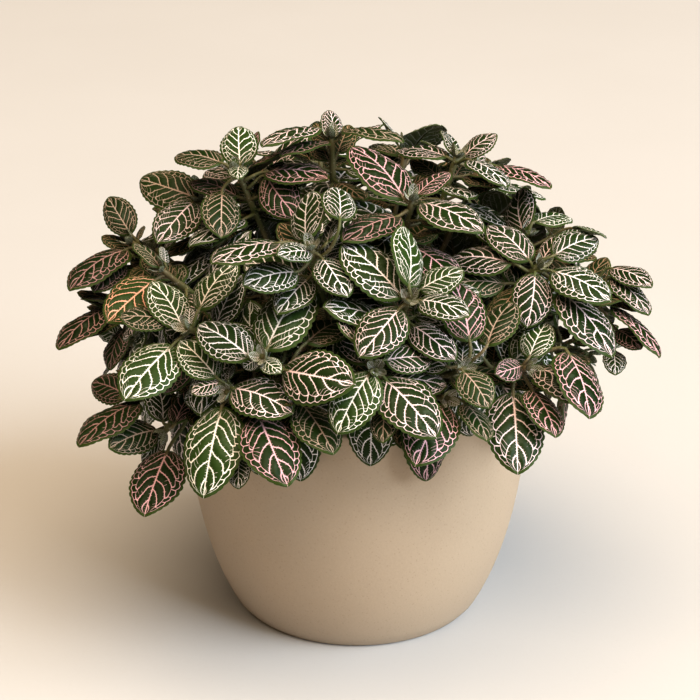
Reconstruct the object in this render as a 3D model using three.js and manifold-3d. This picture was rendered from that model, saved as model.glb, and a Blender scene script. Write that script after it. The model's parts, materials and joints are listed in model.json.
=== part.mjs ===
// A potted nerve plant: a round ceramic pot, the soil in it, and leafy stems that make a low dome of
// veined leaves.
// Millimetres, +Z up. The origin is the middle of the pot's flat underside, and -Y is the plant's front.
import * as THREE from "three";
import { mergeVertices } from "three/addons/utils/BufferGeometryUtils.js";
import Module from "manifold-3d";

const wasm = await Module();
wasm.setup();

// Driving dimensions of the pot and its soil
const POT = { rim: 69.7, base: 50, height: 103, wall: 5, floor: 7, edge: 1.4, lip: 1.1, sides: 32 };
const POT_SWELL = [[63.7, 23.6], [69.7, 58.7]];
const INNER_HEIGHTS = [55, 26, 10];
// The soil lies this gap inside the pot, and each stem stands this deep in a hole of this radius
const SOIL = { top: 92, crown: 4, gap: 0.3, depth: 10, rings: 3, hole: 2.2, holeSides: 6, foot: 5 };

// Driving dimensions of the plant: the dome that its shoots make, and how far out its stems root
const DOME = { radius: 93, height: 88, middle: 103 };
const ROOTS = { reach: 52, apart: 6, draw: 0.85, turn: 0.05, tries: 40 };
// A stem starts upright just over the soil, passes over the rim, and ends facing out of the dome
const STEM = { radius: 1.5, sides: 4, steps: 4, start: 1, over: 9, droop: 8, outward: 0.6 };
const STEM_RISE = { climb: 0.35, spread: 0.3, arrive: 0.2 };
const BUD = { radius: 1.9, low: 1, height: 3.4, top: 0.48 };
// A blade's arch is a share of its length, and its fold a share of its width
const BLADE = { thick: 0.9, aspect: 0.7, arch: 0.09, fold: 0.22, neck: 0.9 };
const OUTLINE = { base: 0.55, tip: 0.58, widest: 0.487 };
// Where a blade has its rows of corners, as shares of its length
const STATIONS = { seen: [0.2, 0.52, 0.83], plain: [0.28, 0.68], small: [0.48] };
const SMALL_LENGTH = 14.5;
const SEEN_LENGTH = 19;
// Leaves whose tips show above this pixel row are far enough away for plain blades
const FAR_ROW = 235;
// The room between shoots, between a shoot's own leaves, and between a leaf tested alone and its stem
const CLEAR = 0.8;
const OWN_CLEAR = 0.05;
const STEM_LIFT = 0.35;
// The lowest that a leaf may hang
const LOWEST = 2;

// How a leaf may be bent out of the way of a neighbour: its tip and foot moved along the line of sight,
// and its turn
const TIP_SHIFTS = [0, 3, -3, 6, -6, 9, -9, 13, -13, 18, -18];
const FOOT_SHIFTS = [0, 3, -3, 6, -6, 10];
const TURNS = [0, 14, -14, 28, -28];
// The same for a leaf placed by rule: its rise and its swing round the stem, in degrees
const LIFTS = [0, 14, -14, 28, -28, 42];
const SWINGS = [0, 18, -18, 36, -36];
// How a leaf is matched to a side of the stem: the least alignments that cost nothing, and the weights of
// the rest
const MATCH = { along: 0.5, away: 0.6, facing: 0.3, least: 2, best: 4 };
const MATCH_COST = { along: 3, away: 4, facing: 2 };

// The view that places were read in: pixels of a picture 700 wide, seen from the front and a little above
const VIEW = { elevation: 23.4, distance: 850, target: [-2.85, 0, 107.4], focal: 2124, middle: 350 };

// Each shoot: its tip's pixel, how far out on the dome it sits, and its leaves.
// Each leaf: the pixels of its foot and tip, the width that shows in pixels, and its true length in
// millimetres.
const SHOOTS = [
  { at: [228, 392], out: 1, leaves: [
    { foot: [222, 406], tip: [203, 498], shows: 62, length: 35 },
    { foot: [217, 378], tip: [180, 340], shows: 42, length: 24 },
    { foot: [220, 383], tip: [191, 393], shows: 20, length: 14 },
    { foot: [232, 388], tip: [293, 413], shows: 44, length: 28 },
    { foot: [228, 380], tip: [233, 365], shows: 10, length: 8 }] },
  { at: [527, 368], out: 1.02, leaves: [
    { foot: [513, 392], tip: [518, 474], shows: 62, length: 33 },
    { foot: [529, 358], tip: [547, 322], shows: 32, length: 19 },
    { foot: [522, 366], tip: [495, 374], shows: 26, length: 14 },
    { foot: [536, 367], tip: [587, 404], shows: 38, length: 26 },
    { foot: [532, 390], tip: [556, 437], shows: 34, length: 24 },
    { foot: [568, 352], tip: [590, 418], shows: 46, length: 31 }] },
  { at: [376, 370], out: 1, leaves: [
    { foot: [371, 372], tip: [337, 434], shows: 50, length: 28 },
    { foot: [384, 378], tip: [437, 438], shows: 54, length: 31 },
    { foot: [384, 360], tip: [433, 358], shows: 32, length: 20 },
    { foot: [387, 404], tip: [383, 443], shows: 30, length: 17 },
    { foot: [356, 344], tip: [345, 308], shows: 24, length: 20 }] },
  { at: [166, 430], out: 0.98, leaves: [
    { foot: [168, 450], tip: [144, 516], shows: 54, length: 31 },
    { foot: [157, 430], tip: [109, 448], shows: 38, length: 22 },
    { foot: [164, 436], tip: [142, 463], shows: 20, length: 13 },
    { foot: [163, 422], tip: [152, 375], shows: 28, length: 22 },
    { foot: [175, 424], tip: [200, 385], shows: 28, length: 20 }] },
  { at: [263, 357], out: 1.02, leaves: [
    { foot: [283, 370], tip: [355, 384], shows: 58, length: 32 },
    { foot: [266, 351], tip: [311, 283], shows: 56, length: 33 },
    { foot: [251, 358], tip: [198, 324], shows: 42, length: 26 },
    { foot: [258, 358], tip: [243, 368], shows: 18, length: 9 },
    { foot: [263, 359], tip: [281, 373], shows: 20, length: 11 }] },
  { at: [408, 301], out: 1.03, leaves: [
    { foot: [403, 298], tip: [342, 243], shows: 48, length: 31 },
    { foot: [409, 287], tip: [405, 226], shows: 47, length: 26 },
    { foot: [400, 308], tip: [359, 357], shows: 48, length: 26 },
    { foot: [419, 290], tip: [464, 270], shows: 30, length: 20 },
    { foot: [419, 300], tip: [470, 316], shows: 30, length: 21 },
    { foot: [414, 296], tip: [417, 281], shows: 12, length: 8 }] },
  { at: [463, 369], out: 1.01, leaves: [
    { foot: [463, 371], tip: [489, 408], shows: 36, length: 20 },
    { foot: [462, 367], tip: [465, 341], shows: 24, length: 13 },
    { foot: [448, 367], tip: [414, 346], shows: 36, length: 18 },
    { foot: [470, 342], tip: [454, 281], shows: 48, length: 26 },
    { foot: [487, 346], tip: [513, 302], shows: 36, length: 24 }] },
  { at: [188, 328], out: 1.03, leaves: [
    { foot: [173, 345], tip: [124, 400], shows: 54, length: 31 },
    { foot: [183, 328], tip: [152, 281], shows: 38, length: 24 },
    { foot: [199, 310], tip: [236, 262], shows: 34, length: 25 },
    { foot: [168, 320], tip: [119, 317], shows: 26, length: 21 },
    { foot: [189, 325], tip: [190, 308], shows: 14, length: 8 }] },
  { at: [538, 267], out: 1.04, leaves: [
    { foot: [535, 273], tip: [527, 328], shows: 44, length: 23 },
    { foot: [530, 261], tip: [488, 225], shows: 36, length: 24 },
    { foot: [541, 262], tip: [566, 234], shows: 22, length: 17 },
    { foot: [552, 271], tip: [611, 301], shows: 38, length: 27 },
    { foot: [553, 256], tip: [598, 238], shows: 34, length: 21 },
    { foot: [560, 291], tip: [613, 357], shows: 42, length: 33 },
    { foot: [512, 263], tip: [449, 260], shows: 34, length: 26 }] },
  { at: [311, 249], out: 1.03, leaves: [
    { foot: [306, 241], tip: [310, 191], shows: 36, length: 24 },
    { foot: [311, 252], tip: [277, 255], shows: 24, length: 15 },
    { foot: [322, 258], tip: [348, 297], shows: 36, length: 21 },
    { foot: [327, 243], tip: [346, 209], shows: 22, length: 18 },
    { foot: [297, 272], tip: [243, 285], shows: 36, length: 23 },
    { foot: [314, 244], tip: [317, 232], shows: 10, length: 8 },
    { foot: [280, 243], tip: [211, 263], shows: 28, length: 30 },
    { foot: [340, 220], tip: [337, 187], shows: 36, length: 20 }] },
  { at: [446, 398], out: 0.95, leaves: [
    { foot: [444, 404], tip: [415, 466], shows: 56, length: 30 },
    { foot: [466, 404], tip: [487, 441], shows: 26, length: 20 }] },
  { at: [280, 396], out: 0.94, leaves: [
    { foot: [258, 414], tip: [288, 486], shows: 58, length: 32 },
    { foot: [240, 458], tip: [239, 489], shows: 24, length: 14 },
    { foot: [302, 404], tip: [334, 454], shows: 42, length: 26 },
    { foot: [306, 343], tip: [343, 322], shows: 34, length: 24 }] },
  { at: [412, 201], out: 1.03, leaves: [
    { foot: [405, 200], tip: [351, 146], shows: 44, length: 33 },
    { foot: [421, 202], tip: [484, 232], shows: 36, length: 29 },
    { foot: [416, 196], tip: [450, 172], shows: 20, length: 18 },
    { foot: [399, 216], tip: [342, 241], shows: 32, length: 26 },
    { foot: [412, 197], tip: [419, 188], shows: 10, length: 8 }] },
  { at: [140, 400], out: 1, leaves: [
    { foot: [138, 402], tip: [78, 446], shows: 32, length: 32 },
    { foot: [128, 396], tip: [92, 382], shows: 34, length: 20 }] },
  { at: [163, 271], out: 1.02, leaves: [
    { foot: [158, 278], tip: [107, 322], shows: 50, length: 30 },
    { foot: [160, 268], tip: [134, 243], shows: 13, length: 16 },
    { foot: [165, 263], tip: [163, 247], shows: 9, length: 9 }] },
  { at: [238, 172], out: 1.03, leaves: [
    { foot: [240, 166], tip: [239, 126], shows: 42, length: 22 },
    { foot: [240, 166], tip: [238, 179], shows: 30, length: 12 },
    { foot: [222, 163], tip: [175, 156], shows: 24, length: 22 },
    { foot: [222, 192], tip: [221, 238], shows: 40, length: 23 },
    { foot: [266, 176], tip: [298, 218], shows: 44, length: 24 },
    { foot: [266, 172], tip: [329, 179], shows: 26, length: 28 }] },
  { at: [202, 200], out: 0.99, leaves: [
    { foot: [197, 198], tip: [140, 179], shows: 44, length: 27 },
    { foot: [194, 201], tip: [157, 243], shows: 42, length: 25 }] },
  { at: [456, 158], out: 1.04, leaves: [
    { foot: [463, 157], tip: [497, 134], shows: 22, length: 18 },
    { foot: [455, 157], tip: [443, 131], shows: 16, length: 14 },
    { foot: [447, 157], tip: [397, 150], shows: 18, length: 24 },
    { foot: [470, 160], tip: [507, 187], shows: 22, length: 23 },
    { foot: [496, 166], tip: [551, 188], shows: 20, length: 26 }] },
  { at: [332, 139], out: 1.04, leaves: [
    { foot: [332, 138], tip: [330, 110], shows: 23, length: 14 },
    { foot: [317, 128], tip: [262, 146], shows: 20, length: 28 },
    { foot: [345, 130], tip: [403, 142], shows: 16, length: 28 },
    { foot: [326, 142], tip: [281, 156], shows: 14, length: 24 }] },
  { at: [524, 236], out: 0.98, leaves: [
    { foot: [523, 232], tip: [521, 188], shows: 30, length: 22 },
    { foot: [534, 222], tip: [571, 218], shows: 18, length: 20 },
    { foot: [574, 228], tip: [606, 237], shows: 14, length: 16 }] },
  { at: [133, 243], out: 1.02, leaves: [
    { foot: [127, 249], tip: [69, 290], shows: 34, length: 31 },
    { foot: [131, 234], tip: [108, 197], shows: 34, length: 19 },
    { foot: [138, 240], tip: [143, 226], shows: 8, length: 8 },
    { foot: [122, 262], tip: [94, 292], shows: 30, length: 20 }] },
  { at: [609, 284], out: 1, leaves: [
    { foot: [611, 268], tip: [652, 287], shows: 24, length: 20 },
    { foot: [613, 277], tip: [649, 315], shows: 26, length: 22 },
    { foot: [613, 306], tip: [660, 357], shows: 18, length: 30 },
    { foot: [617, 330], tip: [641, 349], shows: 26, length: 16 },
    { foot: [613, 350], tip: [615, 375], shows: 26, length: 14 }] },
  { at: [112, 305], out: 1, leaves: [
    { foot: [104, 309], tip: [58, 349], shows: 30, length: 28 },
    { foot: [124, 328], tip: [110, 370], shows: 24, length: 19 }] },
];

// The shoots that no view from the front shows: their bearing round the pot and height angle on the dome,
// in degrees
const BACK_SHOOTS = {
  low: { count: 8, from: -12, to: 192, height: 4 },
  middle: { count: 7, from: -4, to: 184, height: 30 },
  high: { count: 4, from: 10, to: 170, height: 56 },
};

// How far below a shoot's tip its leaves spring from the stem, up to one from each of its four sides
const JOINTS = [1.6, 4, 7.5, 12, 18];

// The pairs of leaves of such a shoot: which joint they spring from, their length, and their rise off the
// level
const PAIRS = [
  { joint: 0, length: 14, rise: 48 },
  { joint: 1, length: 26, rise: 18 },
  { joint: 3, length: 32, rise: 2 },
  { joint: 4, length: 28, rise: -6 },
];
// The pair that fills in under the leaves of a shoot in front
const UNDER_PAIRS = [
  { joint: 3, length: 22, rise: 6 },
  { joint: 4, length: 27, rise: 0 },
];

const UP = new THREE.Vector3(0, 0, 1);
const point = (x, y, z) => new THREE.Vector3(x, y, z);
const radians = THREE.MathUtils.degToRad;

// A number from 0 to 1 that two whole numbers always give alike.
function draw(first, second) {
  const spread = Math.sin(first * 127.1 + second * 311.7) * 43758.5453;
  return spread - Math.floor(spread);
}

// Solid from a geometry, with its shared corners merged and its collapsed faces dropped.
function solidOf(geometry) {
  const bare = geometry.clone();
  bare.deleteAttribute("normal");
  bare.deleteAttribute("uv");
  const merged = mergeVertices(bare, 1e-4);
  const corners = [...merged.index.array];
  const kept = [];
  for (let i = 0; i < corners.length; i += 3) {
    const [a, b, c] = corners.slice(i, i + 3);
    if (a !== b && b !== c && c !== a) kept.push(a, b, c);
  }
  const mesh = new wasm.Mesh({
    numProp: 3,
    vertProperties: merged.attributes.position.array,
    triVerts: new Uint32Array(kept),
  });
  return new wasm.Manifold(mesh);
}

// Solid from places and the faces between them, three to a face.
function solidFrom(places, faces) {
  const geometry = new THREE.BufferGeometry();
  geometry.setAttribute("position", new THREE.Float32BufferAttribute(places.flatMap((p) => p.toArray()), 3));
  geometry.setIndex(faces);
  return solidOf(geometry);
}

// Geometry from a solid, for a mesh.
function geometryOf(solid) {
  const mesh = solid.getMesh();
  const geometry = new THREE.BufferGeometry();
  geometry.setAttribute("position", new THREE.BufferAttribute(mesh.vertProperties, 3));
  geometry.setIndex(new THREE.BufferAttribute(mesh.triVerts, 1));
  geometry.computeVertexNormals();
  return geometry;
}

// A named mesh of one solid.
function meshOf(name, solid, color, roughness) {
  const material = new THREE.MeshStandardMaterial({ color, roughness, metalness: 0 });
  const mesh = new THREE.Mesh(geometryOf(solid), material);
  mesh.name = name;
  return mesh;
}

// The pot's outer line from the foot to the rim.
function potLine(count) {
  const [low, high] = POT_SWELL;
  const curve = new THREE.CubicBezierCurve(
    new THREE.Vector2(POT.base, 0),
    new THREE.Vector2(...low),
    new THREE.Vector2(...high),
    new THREE.Vector2(POT.rim, POT.height),
  );
  return curve.getPoints(count);
}

// The pot's radius inside its wall at a height.
function innerRadius(height) {
  const line = potLine(60);
  const above = line.findIndex((p) => p.y >= height);
  const [p, q] = [line[above - 1], line[above]];
  const share = (height - p.y) / (q.y - p.y);
  return p.x + (q.x - p.x) * share - POT.wall;
}

// Spins a profile of radius and height round the Z axis.
function spun(profile) {
  return solidOf(new THREE.LatheGeometry(profile, POT.sides).rotateX(Math.PI / 2));
}

function makePot() {
  const at = (x, y) => new THREE.Vector2(x, y);
  const outside = potLine(6).slice(1, -1);
  const inside = [POT.height - 2 * POT.lip, ...INNER_HEIGHTS].map((z) => at(innerRadius(z), z));
  const inner = POT.rim - POT.wall;
  return spun([
    at(0, 0),
    at(POT.base - POT.edge, 0),
    at(POT.base + POT.edge / 2, POT.edge),
    ...outside,
    at(POT.rim, POT.height - POT.lip),
    at(POT.rim - POT.lip, POT.height),
    at(inner + POT.lip, POT.height),
    ...inside,
    at(innerRadius(INNER_HEIGHTS.at(-1)) - 4, POT.floor),
    at(0, POT.floor),
  ]);
}

// Soil height at a distance from the pot's axis.
function soilTop(radius) {
  const share = Math.min(1, radius / innerRadius(SOIL.top));
  return SOIL.top + SOIL.crown * (1 - share * share);
}

// The soil fills the pot to a low crown, with a plain hole for each stem.
function makeSoil(roots) {
  const at = (x, y) => new THREE.Vector2(x, y);
  const low = POT.floor + SOIL.gap;
  const heights = [...INNER_HEIGHTS.toReversed(), SOIL.top];
  const sides = heights.map((z) => at(innerRadius(z) - 2 * SOIL.gap, z));
  const crown = [];
  for (let ring = SOIL.rings - 1; ring >= 0; ring -= 1) {
    const radius = (sides.at(-1).x * ring) / SOIL.rings;
    crown.push(at(radius, soilTop(radius)));
  }
  let solid = spun([at(0, low), at(sides[0].x - SOIL.foot, low), ...sides, ...crown]);
  for (const root of roots) {
    const hole = new THREE.CylinderGeometry(SOIL.hole, SOIL.hole, 2 * SOIL.depth, SOIL.holeSides);
    hole.rotateX(Math.PI / 2);
    hole.translate(root.x, root.y, soilTop(Math.hypot(root.x, root.y)) - SOIL.gap);
    solid = solid.subtract(solidOf(hole));
  }
  return solid;
}

// The eye and its directions, for turning pixels into lines of sight.
const tilt = radians(VIEW.elevation);
const toEye = point(0, -Math.cos(tilt), Math.sin(tilt));
const eye = point(...VIEW.target).addScaledVector(toEye, VIEW.distance);
const viewUp = point(0, Math.sin(tilt), Math.cos(tilt));

// The unit line of sight through a pixel.
function sight([u, v]) {
  const ray = toEye.clone().multiplyScalar(-VIEW.focal);
  ray.x += u - VIEW.middle;
  return ray.addScaledVector(viewUp, VIEW.middle - v).normalize();
}

// The place on the dome, grown by a factor, that a pixel shows, or the place nearest to it past the dome's
// edge.
function onDome(pixel, out) {
  const ray = sight(pixel);
  const size = point(DOME.radius, DOME.radius, DOME.height).multiplyScalar(out);
  const from = eye.clone().sub(point(0, 0, DOME.middle)).divide(size);
  const along = ray.clone().divide(size);
  const a = along.dot(along);
  const b = from.dot(along);
  const inside = b * b - a * (from.dot(from) - 1);
  const reach = (-b - Math.sqrt(Math.max(0, inside))) / a;
  return eye.clone().addScaledVector(ray, reach);
}

// The direction in which the dome faces at a place.
function domeFacing(place) {
  const size = point(DOME.radius, DOME.radius, DOME.height);
  return place.clone().sub(point(0, 0, DOME.middle)).divide(size).divide(size).normalize();
}

// The place on a pixel's line of sight that lies nearest to a given place, moved towards the eye by a
// shift.
function onSight(pixel, near, shift) {
  const ray = sight(pixel);
  const reach = near.clone().sub(eye).dot(ray) - shift;
  return eye.clone().addScaledVector(ray, reach);
}

// A blade's half width at a share of its length, as a share of the widest.
function bladeShape(share) {
  const form = (s) => s ** OUTLINE.base * (1 - s) ** OUTLINE.tip;
  return form(share) / form(OUTLINE.widest);
}

// A leaf's three directions: along, across, and out of its upper face.
function leafFrame(leaf) {
  const along = leaf.tip.clone().sub(leaf.foot).normalize();
  const face = leaf.face.clone().addScaledVector(along, -leaf.face.dot(along)).normalize();
  face.applyAxisAngle(along, leaf.turn);
  const across = along.clone().cross(face);
  return { along, across, face };
}

// Adds a thin plate's faces through rows of corners, each corner a pair of its upper and its lower place.
function addPlate(faces, rows) {
  const sheet = (a, b, c) => faces.push(a[0], b[0], c[0], a[1], c[1], b[1]);
  const wall = (a, b) => faces.push(a[0], a[1], b[1], a[0], b[1], b[0]);
  for (let row = 0; row + 1 < rows.length; row += 1) {
    const [near, far] = [rows[row], rows[row + 1]];
    const [nears, fars] = [near.length - 1, far.length - 1];
    let [i, j] = [0, 0];
    wall(far[0], near[0]);
    while (i < nears || j < fars) {
      const nearNext = i < nears && (j === fars || (i + 1) / nears < (j + 1) / fars - 1e-9);
      if (nearNext) sheet(near[i], near[i + 1], far[j]);
      else sheet(near[i], far[j + 1], far[j]);
      if (nearNext) i += 1;
      else j += 1;
    }
    wall(near[nears], far[fars]);
  }
}

// Adds the corners of a plate's row to the places, above and below its middle, and gives their numbers in
// pairs.
function addRow(places, { middles, out }, thick) {
  return middles.map((middle) => {
    for (const side of [1, -1]) places.push(middle.clone().addScaledVector(out, (side * thick) / 2));
    return [places.length - 2, places.length - 1];
  });
}

// A leaf's solid by itself, closed where it springs from the stem, grown by a margin where room is tested.
function leafSolid(leaf, margin) {
  const [places, faces] = [[], []];
  const spring = { ...leaf.spring, middles: leaf.spring.middles.map((m) => m.clone()) };
  spring.middles.forEach((middle) => middle.addScaledVector(spring.away, STEM_LIFT));
  const thick = BLADE.thick + 2 * margin;
  const rows = [spring, ...leafRows(leaf, margin)].map((row) => addRow(places, row, thick));
  addPlate(faces, rows);
  const [left, right] = rows[0];
  faces.push(left[0], left[1], right[1], left[0], right[1], right[0]);
  return solidFrom(places, faces);
}

// The rows of a leaf past the stem: its foot, where it has a stalk, and its blade to the tip.
function leafRows(leaf, margin) {
  const { along, across, face } = leafFrame(leaf);
  const length = leaf.tip.distanceTo(leaf.foot);
  const kind = leaf.length < SMALL_LENGTH ? "small" : leaf.kind;
  const rows = STATIONS[kind].map((share) => {
    const half = (leaf.width / 2) * bladeShape(share) + margin;
    const lift = 4 * leaf.arch * length * share * (1 - share);
    const middles = [-1, 0, 1].map((side) => leaf.foot.clone()
      .addScaledVector(along, length * share)
      .addScaledVector(across, side * half)
      .addScaledVector(face, lift - Math.abs(side) * leaf.fold * half));
    return { middles, out: face };
  });
  rows.push({ middles: [leaf.tip.clone().addScaledVector(along, margin)], out: face });
  if (leaf.kind === "seen") {
    const neck = BLADE.neck + margin;
    const ends = [-neck, neck].map((side) => leaf.foot.clone().addScaledVector(across, side));
    rows.unshift({ middles: ends, out: face });
  }
  return rows;
}

// The stem's middle line above the soil, from its root up and out to the shoot's tip, in straight pieces.
function stemLine(shoot) {
  const { root, tip } = shoot;
  const start = point(root.x, root.y, soilTop(Math.hypot(root.x, root.y)) + STEM.start);
  const rise = Math.abs(tip.z - start.z);
  const spread = Math.hypot(tip.x - root.x, tip.y - root.y);
  const first = start.clone().addScaledVector(UP, STEM_RISE.climb * rise + STEM_RISE.spread * spread);
  const second = tip.clone().addScaledVector(shoot.facing, -STEM_RISE.arrive * (rise + spread));
  second.z = Math.max(second.z, Math.min(first.z, tip.z + STEM.droop), POT.height + STEM.over);
  const places = new THREE.CubicBezierCurve3(start, first, second, tip).getPoints(STEM.steps);
  const line = new THREE.CurvePath();
  places.slice(1).forEach((place, index) => line.add(new THREE.LineCurve3(places[index], place)));
  return line;
}

// The corners of the stem's cross section at a place on it, for a direction along it.
function stemCorners(shoot, middle, along, radius) {
  const outward = point(shoot.tip.x - shoot.root.x, shoot.tip.y - shoot.root.y, 0);
  const level = UP.clone().cross(outward).normalize();
  const across = level.addScaledVector(along, -level.dot(along)).normalize();
  const other = along.clone().cross(across);
  return Array.from({ length: STEM.sides }, (_, corner) => {
    const turn = shoot.spin + (2 * Math.PI * corner) / STEM.sides;
    return middle.clone()
      .addScaledVector(across, radius * Math.cos(turn))
      .addScaledVector(other, radius * Math.sin(turn));
  });
}

// The two cross sections of a joint, its lower and its upper, half a blade's thickness off its middle.
function jointRings(shoot, joint) {
  const total = shoot.line.getLength();
  const share = 1 - JOINTS[joint] / total;
  const along = shoot.line.getTangent(share);
  const middle = shoot.line.getPoint(share);
  const rings = [-1, 1].map((end) => stemCorners(
    shoot, middle.clone().addScaledVector(along, (end * BLADE.thick) / 2), along, STEM.radius));
  return { share, along, middle, rings };
}

// Where a leaf springs from a side of the stem at a joint: its first row, and the direction away from the
// stem.
function springAt(shoot, joint, side) {
  const { along, middle, rings } = jointRings(shoot, joint);
  const next = (side + 1) % STEM.sides;
  const middles = [next, side].map((corner) => rings[0][corner].clone().lerp(rings[1][corner], 0.5));
  const place = middles[0].clone().lerp(middles[1], 0.5);
  return { joint, side, middles, out: along, place, away: place.clone().sub(middle).normalize() };
}

// A tube's faces through rings of corners in a row, with flat ends, left open where leaves spring from it.
function addTube(faces, rings, open) {
  const last = rings.length - 1;
  for (let side = 0; side < STEM.sides; side += 1) {
    const next = (side + 1) % STEM.sides;
    for (let ring = 0; ring < last; ring += 1) {
      const [low, high] = [rings[ring], rings[ring + 1]];
      if (!open(low, side)) faces.push(low[side], low[next], high[next], low[side], high[next], high[side]);
    }
    if (side > 1) faces.push(rings[0][0], rings[0][side], rings[0][side - 1]);
    if (side > 1) faces.push(rings[last][0], rings[last][side - 1], rings[last][side]);
  }
}

// A shoot's solid: its stem, straight in the soil and up to the bud on its tip, and the leaves it has so
// far.
function shootSolid(shoot, leaves, margin) {
  const [places, faces] = [[], []];
  const addRing = (corners) => corners.map((corner) => places.push(corner) - 1);
  const start = shoot.line.getPoint(0);
  const radius = STEM.radius + margin;
  const rings = [
    addRing(stemCorners(shoot, start.clone().addScaledVector(UP, -STEM.start - SOIL.depth), UP, radius)),
    addRing(stemCorners(shoot, start, UP, radius)),
  ];
  const joints = [...new Set(leaves.map((leaf) => leaf.spring.joint))].map((joint) => ({
    joint, ...jointRings(shoot, joint) }));
  const lengths = shoot.line.getCurveLengths();
  const total = lengths.at(-1);
  const bends = lengths.slice(0, -1)
    .filter((length) => joints.every(({ share }) => Math.abs(share * total - length) > STEM.radius))
    .map((length) => ({ share: length / total }));
  const jointAt = new Map();
  for (const stop of [...bends, ...joints].sort((a, b) => a.share - b.share)) {
    if (stop.rings) {
      const pair = stop.rings.map(addRing);
      jointAt.set(stop.joint, pair);
      rings.push(...pair);
    } else {
      const middle = shoot.line.getPoint(stop.share);
      rings.push(addRing(stemCorners(shoot, middle, shoot.line.getTangent(stop.share), radius)));
    }
  }
  const along = shoot.line.getTangent(1);
  for (const [rise, size] of [[0, STEM.radius], [BUD.low, BUD.radius], [BUD.height, BUD.top]]) {
    const middle = shoot.tip.clone().addScaledVector(along, rise);
    rings.push(addRing(stemCorners(shoot, middle, along, size + margin)));
  }
  const sprung = new Set(leaves.map(({ spring }) => {
    const [low] = jointAt.get(spring.joint);
    return `${low[spring.side]} ${spring.side}`;
  }));
  addTube(faces, rings, (low, side) => sprung.has(`${low[side]} ${side}`));
  for (const leaf of leaves) {
    const [low, high] = jointAt.get(leaf.spring.joint);
    const next = (leaf.spring.side + 1) % STEM.sides;
    const first = [next, leaf.spring.side].map((corner) => [high[corner], low[corner]]);
    addPlate(faces, [first, ...leafRows(leaf, 0).map((row) => addRow(places, row, BLADE.thick))]);
  }
  return solidFrom(places, faces);
}

// The free side of a stem that best suits a leaf: near its foot, facing it, and behind the blade.
function bestSprings(shoot, leaf) {
  const { along, face } = leafFrame(leaf);
  const cost = (spring) => {
    const stalk = leaf.foot.clone().sub(spring.place);
    const length = stalk.length();
    stalk.divideScalar(length);
    const bend = MATCH_COST.along * Math.max(0, MATCH.along - stalk.dot(along));
    const reach = MATCH_COST.away * Math.max(0, MATCH.away - stalk.dot(spring.away));
    const twist = MATCH_COST.facing * Math.max(0, MATCH.facing - face.dot(spring.out));
    return (length + MATCH.least) * (1 + bend + reach + twist);
  };
  const free = shoot.springs.filter((spring) => !shoot.leavesOn.some(
    ({ spring: used }) => used.joint === spring.joint && used.side === spring.side));
  const ranked = free.map((spring) => ({ spring, cost: cost(spring) })).sort((a, b) => a.cost - b.cost);
  return ranked.slice(0, MATCH.best).map(({ spring }) => spring);
}

// The ways in which a leaf read from the view may lie, the one as read first.
function seenLeaves(shoot, { foot, tip, shows, length }) {
  const start = onSight(foot, shoot.tip, 0);
  const flat = onSight(tip, start, 0);
  const shown = flat.distanceTo(start);
  const deep = Math.sqrt(Math.max(0, length * length - shown * shown));
  const towards = tip[1] >= foot[1] ? 1 : -1;
  const full = Math.max(length, shown) * BLADE.aspect;
  const scale = start.distanceTo(eye) / VIEW.focal;
  const open = Math.acos(Math.min(1, (shows * scale) / full));
  const ways = [];
  for (const turn of TURNS) {
    for (const footShift of FOOT_SHIFTS) {
      for (const tipShift of TIP_SHIFTS) {
        const leaf = {
          foot: onSight(foot, shoot.tip, footShift),
          tip: onSight(tip, start, towards * deep + tipShift),
          face: toEye, turn: 0, width: full, length, arch: BLADE.arch, fold: BLADE.fold,
          kind: length < SEEN_LENGTH || tip[1] < FAR_ROW ? "plain" : "seen",
          effort: Math.abs(turn) / 14 + Math.abs(footShift) / 3 + Math.abs(tipShift) / 3,
        };
        const { along, face } = leafFrame(leaf);
        const [left, right] = [open, -open].map((angle) => face.clone().applyAxisAngle(along, angle).z);
        leaf.turn = (left > right ? open : -open) + radians(turn);
        ways.push(leaf);
      }
    }
  }
  return ways.sort((a, b) => a.effort - b.effort);
}

// The ways in which a leaf of a pair may lie, from a side of its shoot's stem.
function pairLeaves(shoot, pair, side) {
  const spring = springAt(shoot, pair.joint, side % STEM.sides);
  const up = spring.out;
  const ways = [];
  for (const turn of TURNS) {
    for (const lift of LIFTS) {
      for (const swing of SWINGS) {
        const out = spring.away.clone().applyAxisAngle(up, radians(swing));
        const rise = radians(pair.rise + lift);
        const along = out.multiplyScalar(Math.cos(rise)).addScaledVector(up, Math.sin(rise));
        along.addScaledVector(UP, -0.15).normalize();
        const foot = spring.place.clone().addScaledVector(along, 2 + pair.length * 0.1);
        ways.push({
          spring, foot, tip: foot.clone().addScaledVector(along, pair.length),
          face: up.clone().addScaledVector(UP, 0.5), turn: radians(turn),
          width: pair.length * BLADE.aspect, length: pair.length, arch: BLADE.arch, fold: BLADE.fold,
          kind: "plain",
          effort: Math.abs(turn) / 14 + Math.abs(lift) / 14 + Math.abs(swing) / 18,
        });
      }
    }
  }
  return ways.sort((a, b) => a.effort - b.effort);
}

// The shoots of the unseen side, in rows round the dome.
function backShoots() {
  const made = [];
  for (const { count, from, to, height } of Object.values(BACK_SHOOTS)) {
    for (let index = 0; index < count; index += 1) {
      const order = made.length;
      const bearing = radians(from + ((to - from) * (index + 0.5)) / count + 10 * (draw(order, 1) - 0.5));
      const level = radians(height + 10 * (draw(order, 2) - 0.5));
      const tip = point(
        DOME.radius * Math.cos(level) * Math.cos(bearing),
        DOME.radius * Math.cos(level) * Math.sin(bearing),
        DOME.middle + DOME.height * Math.sin(level),
      );
      made.push({ tip, leaves: [], pairs: PAIRS });
    }
  }
  return made;
}

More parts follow.
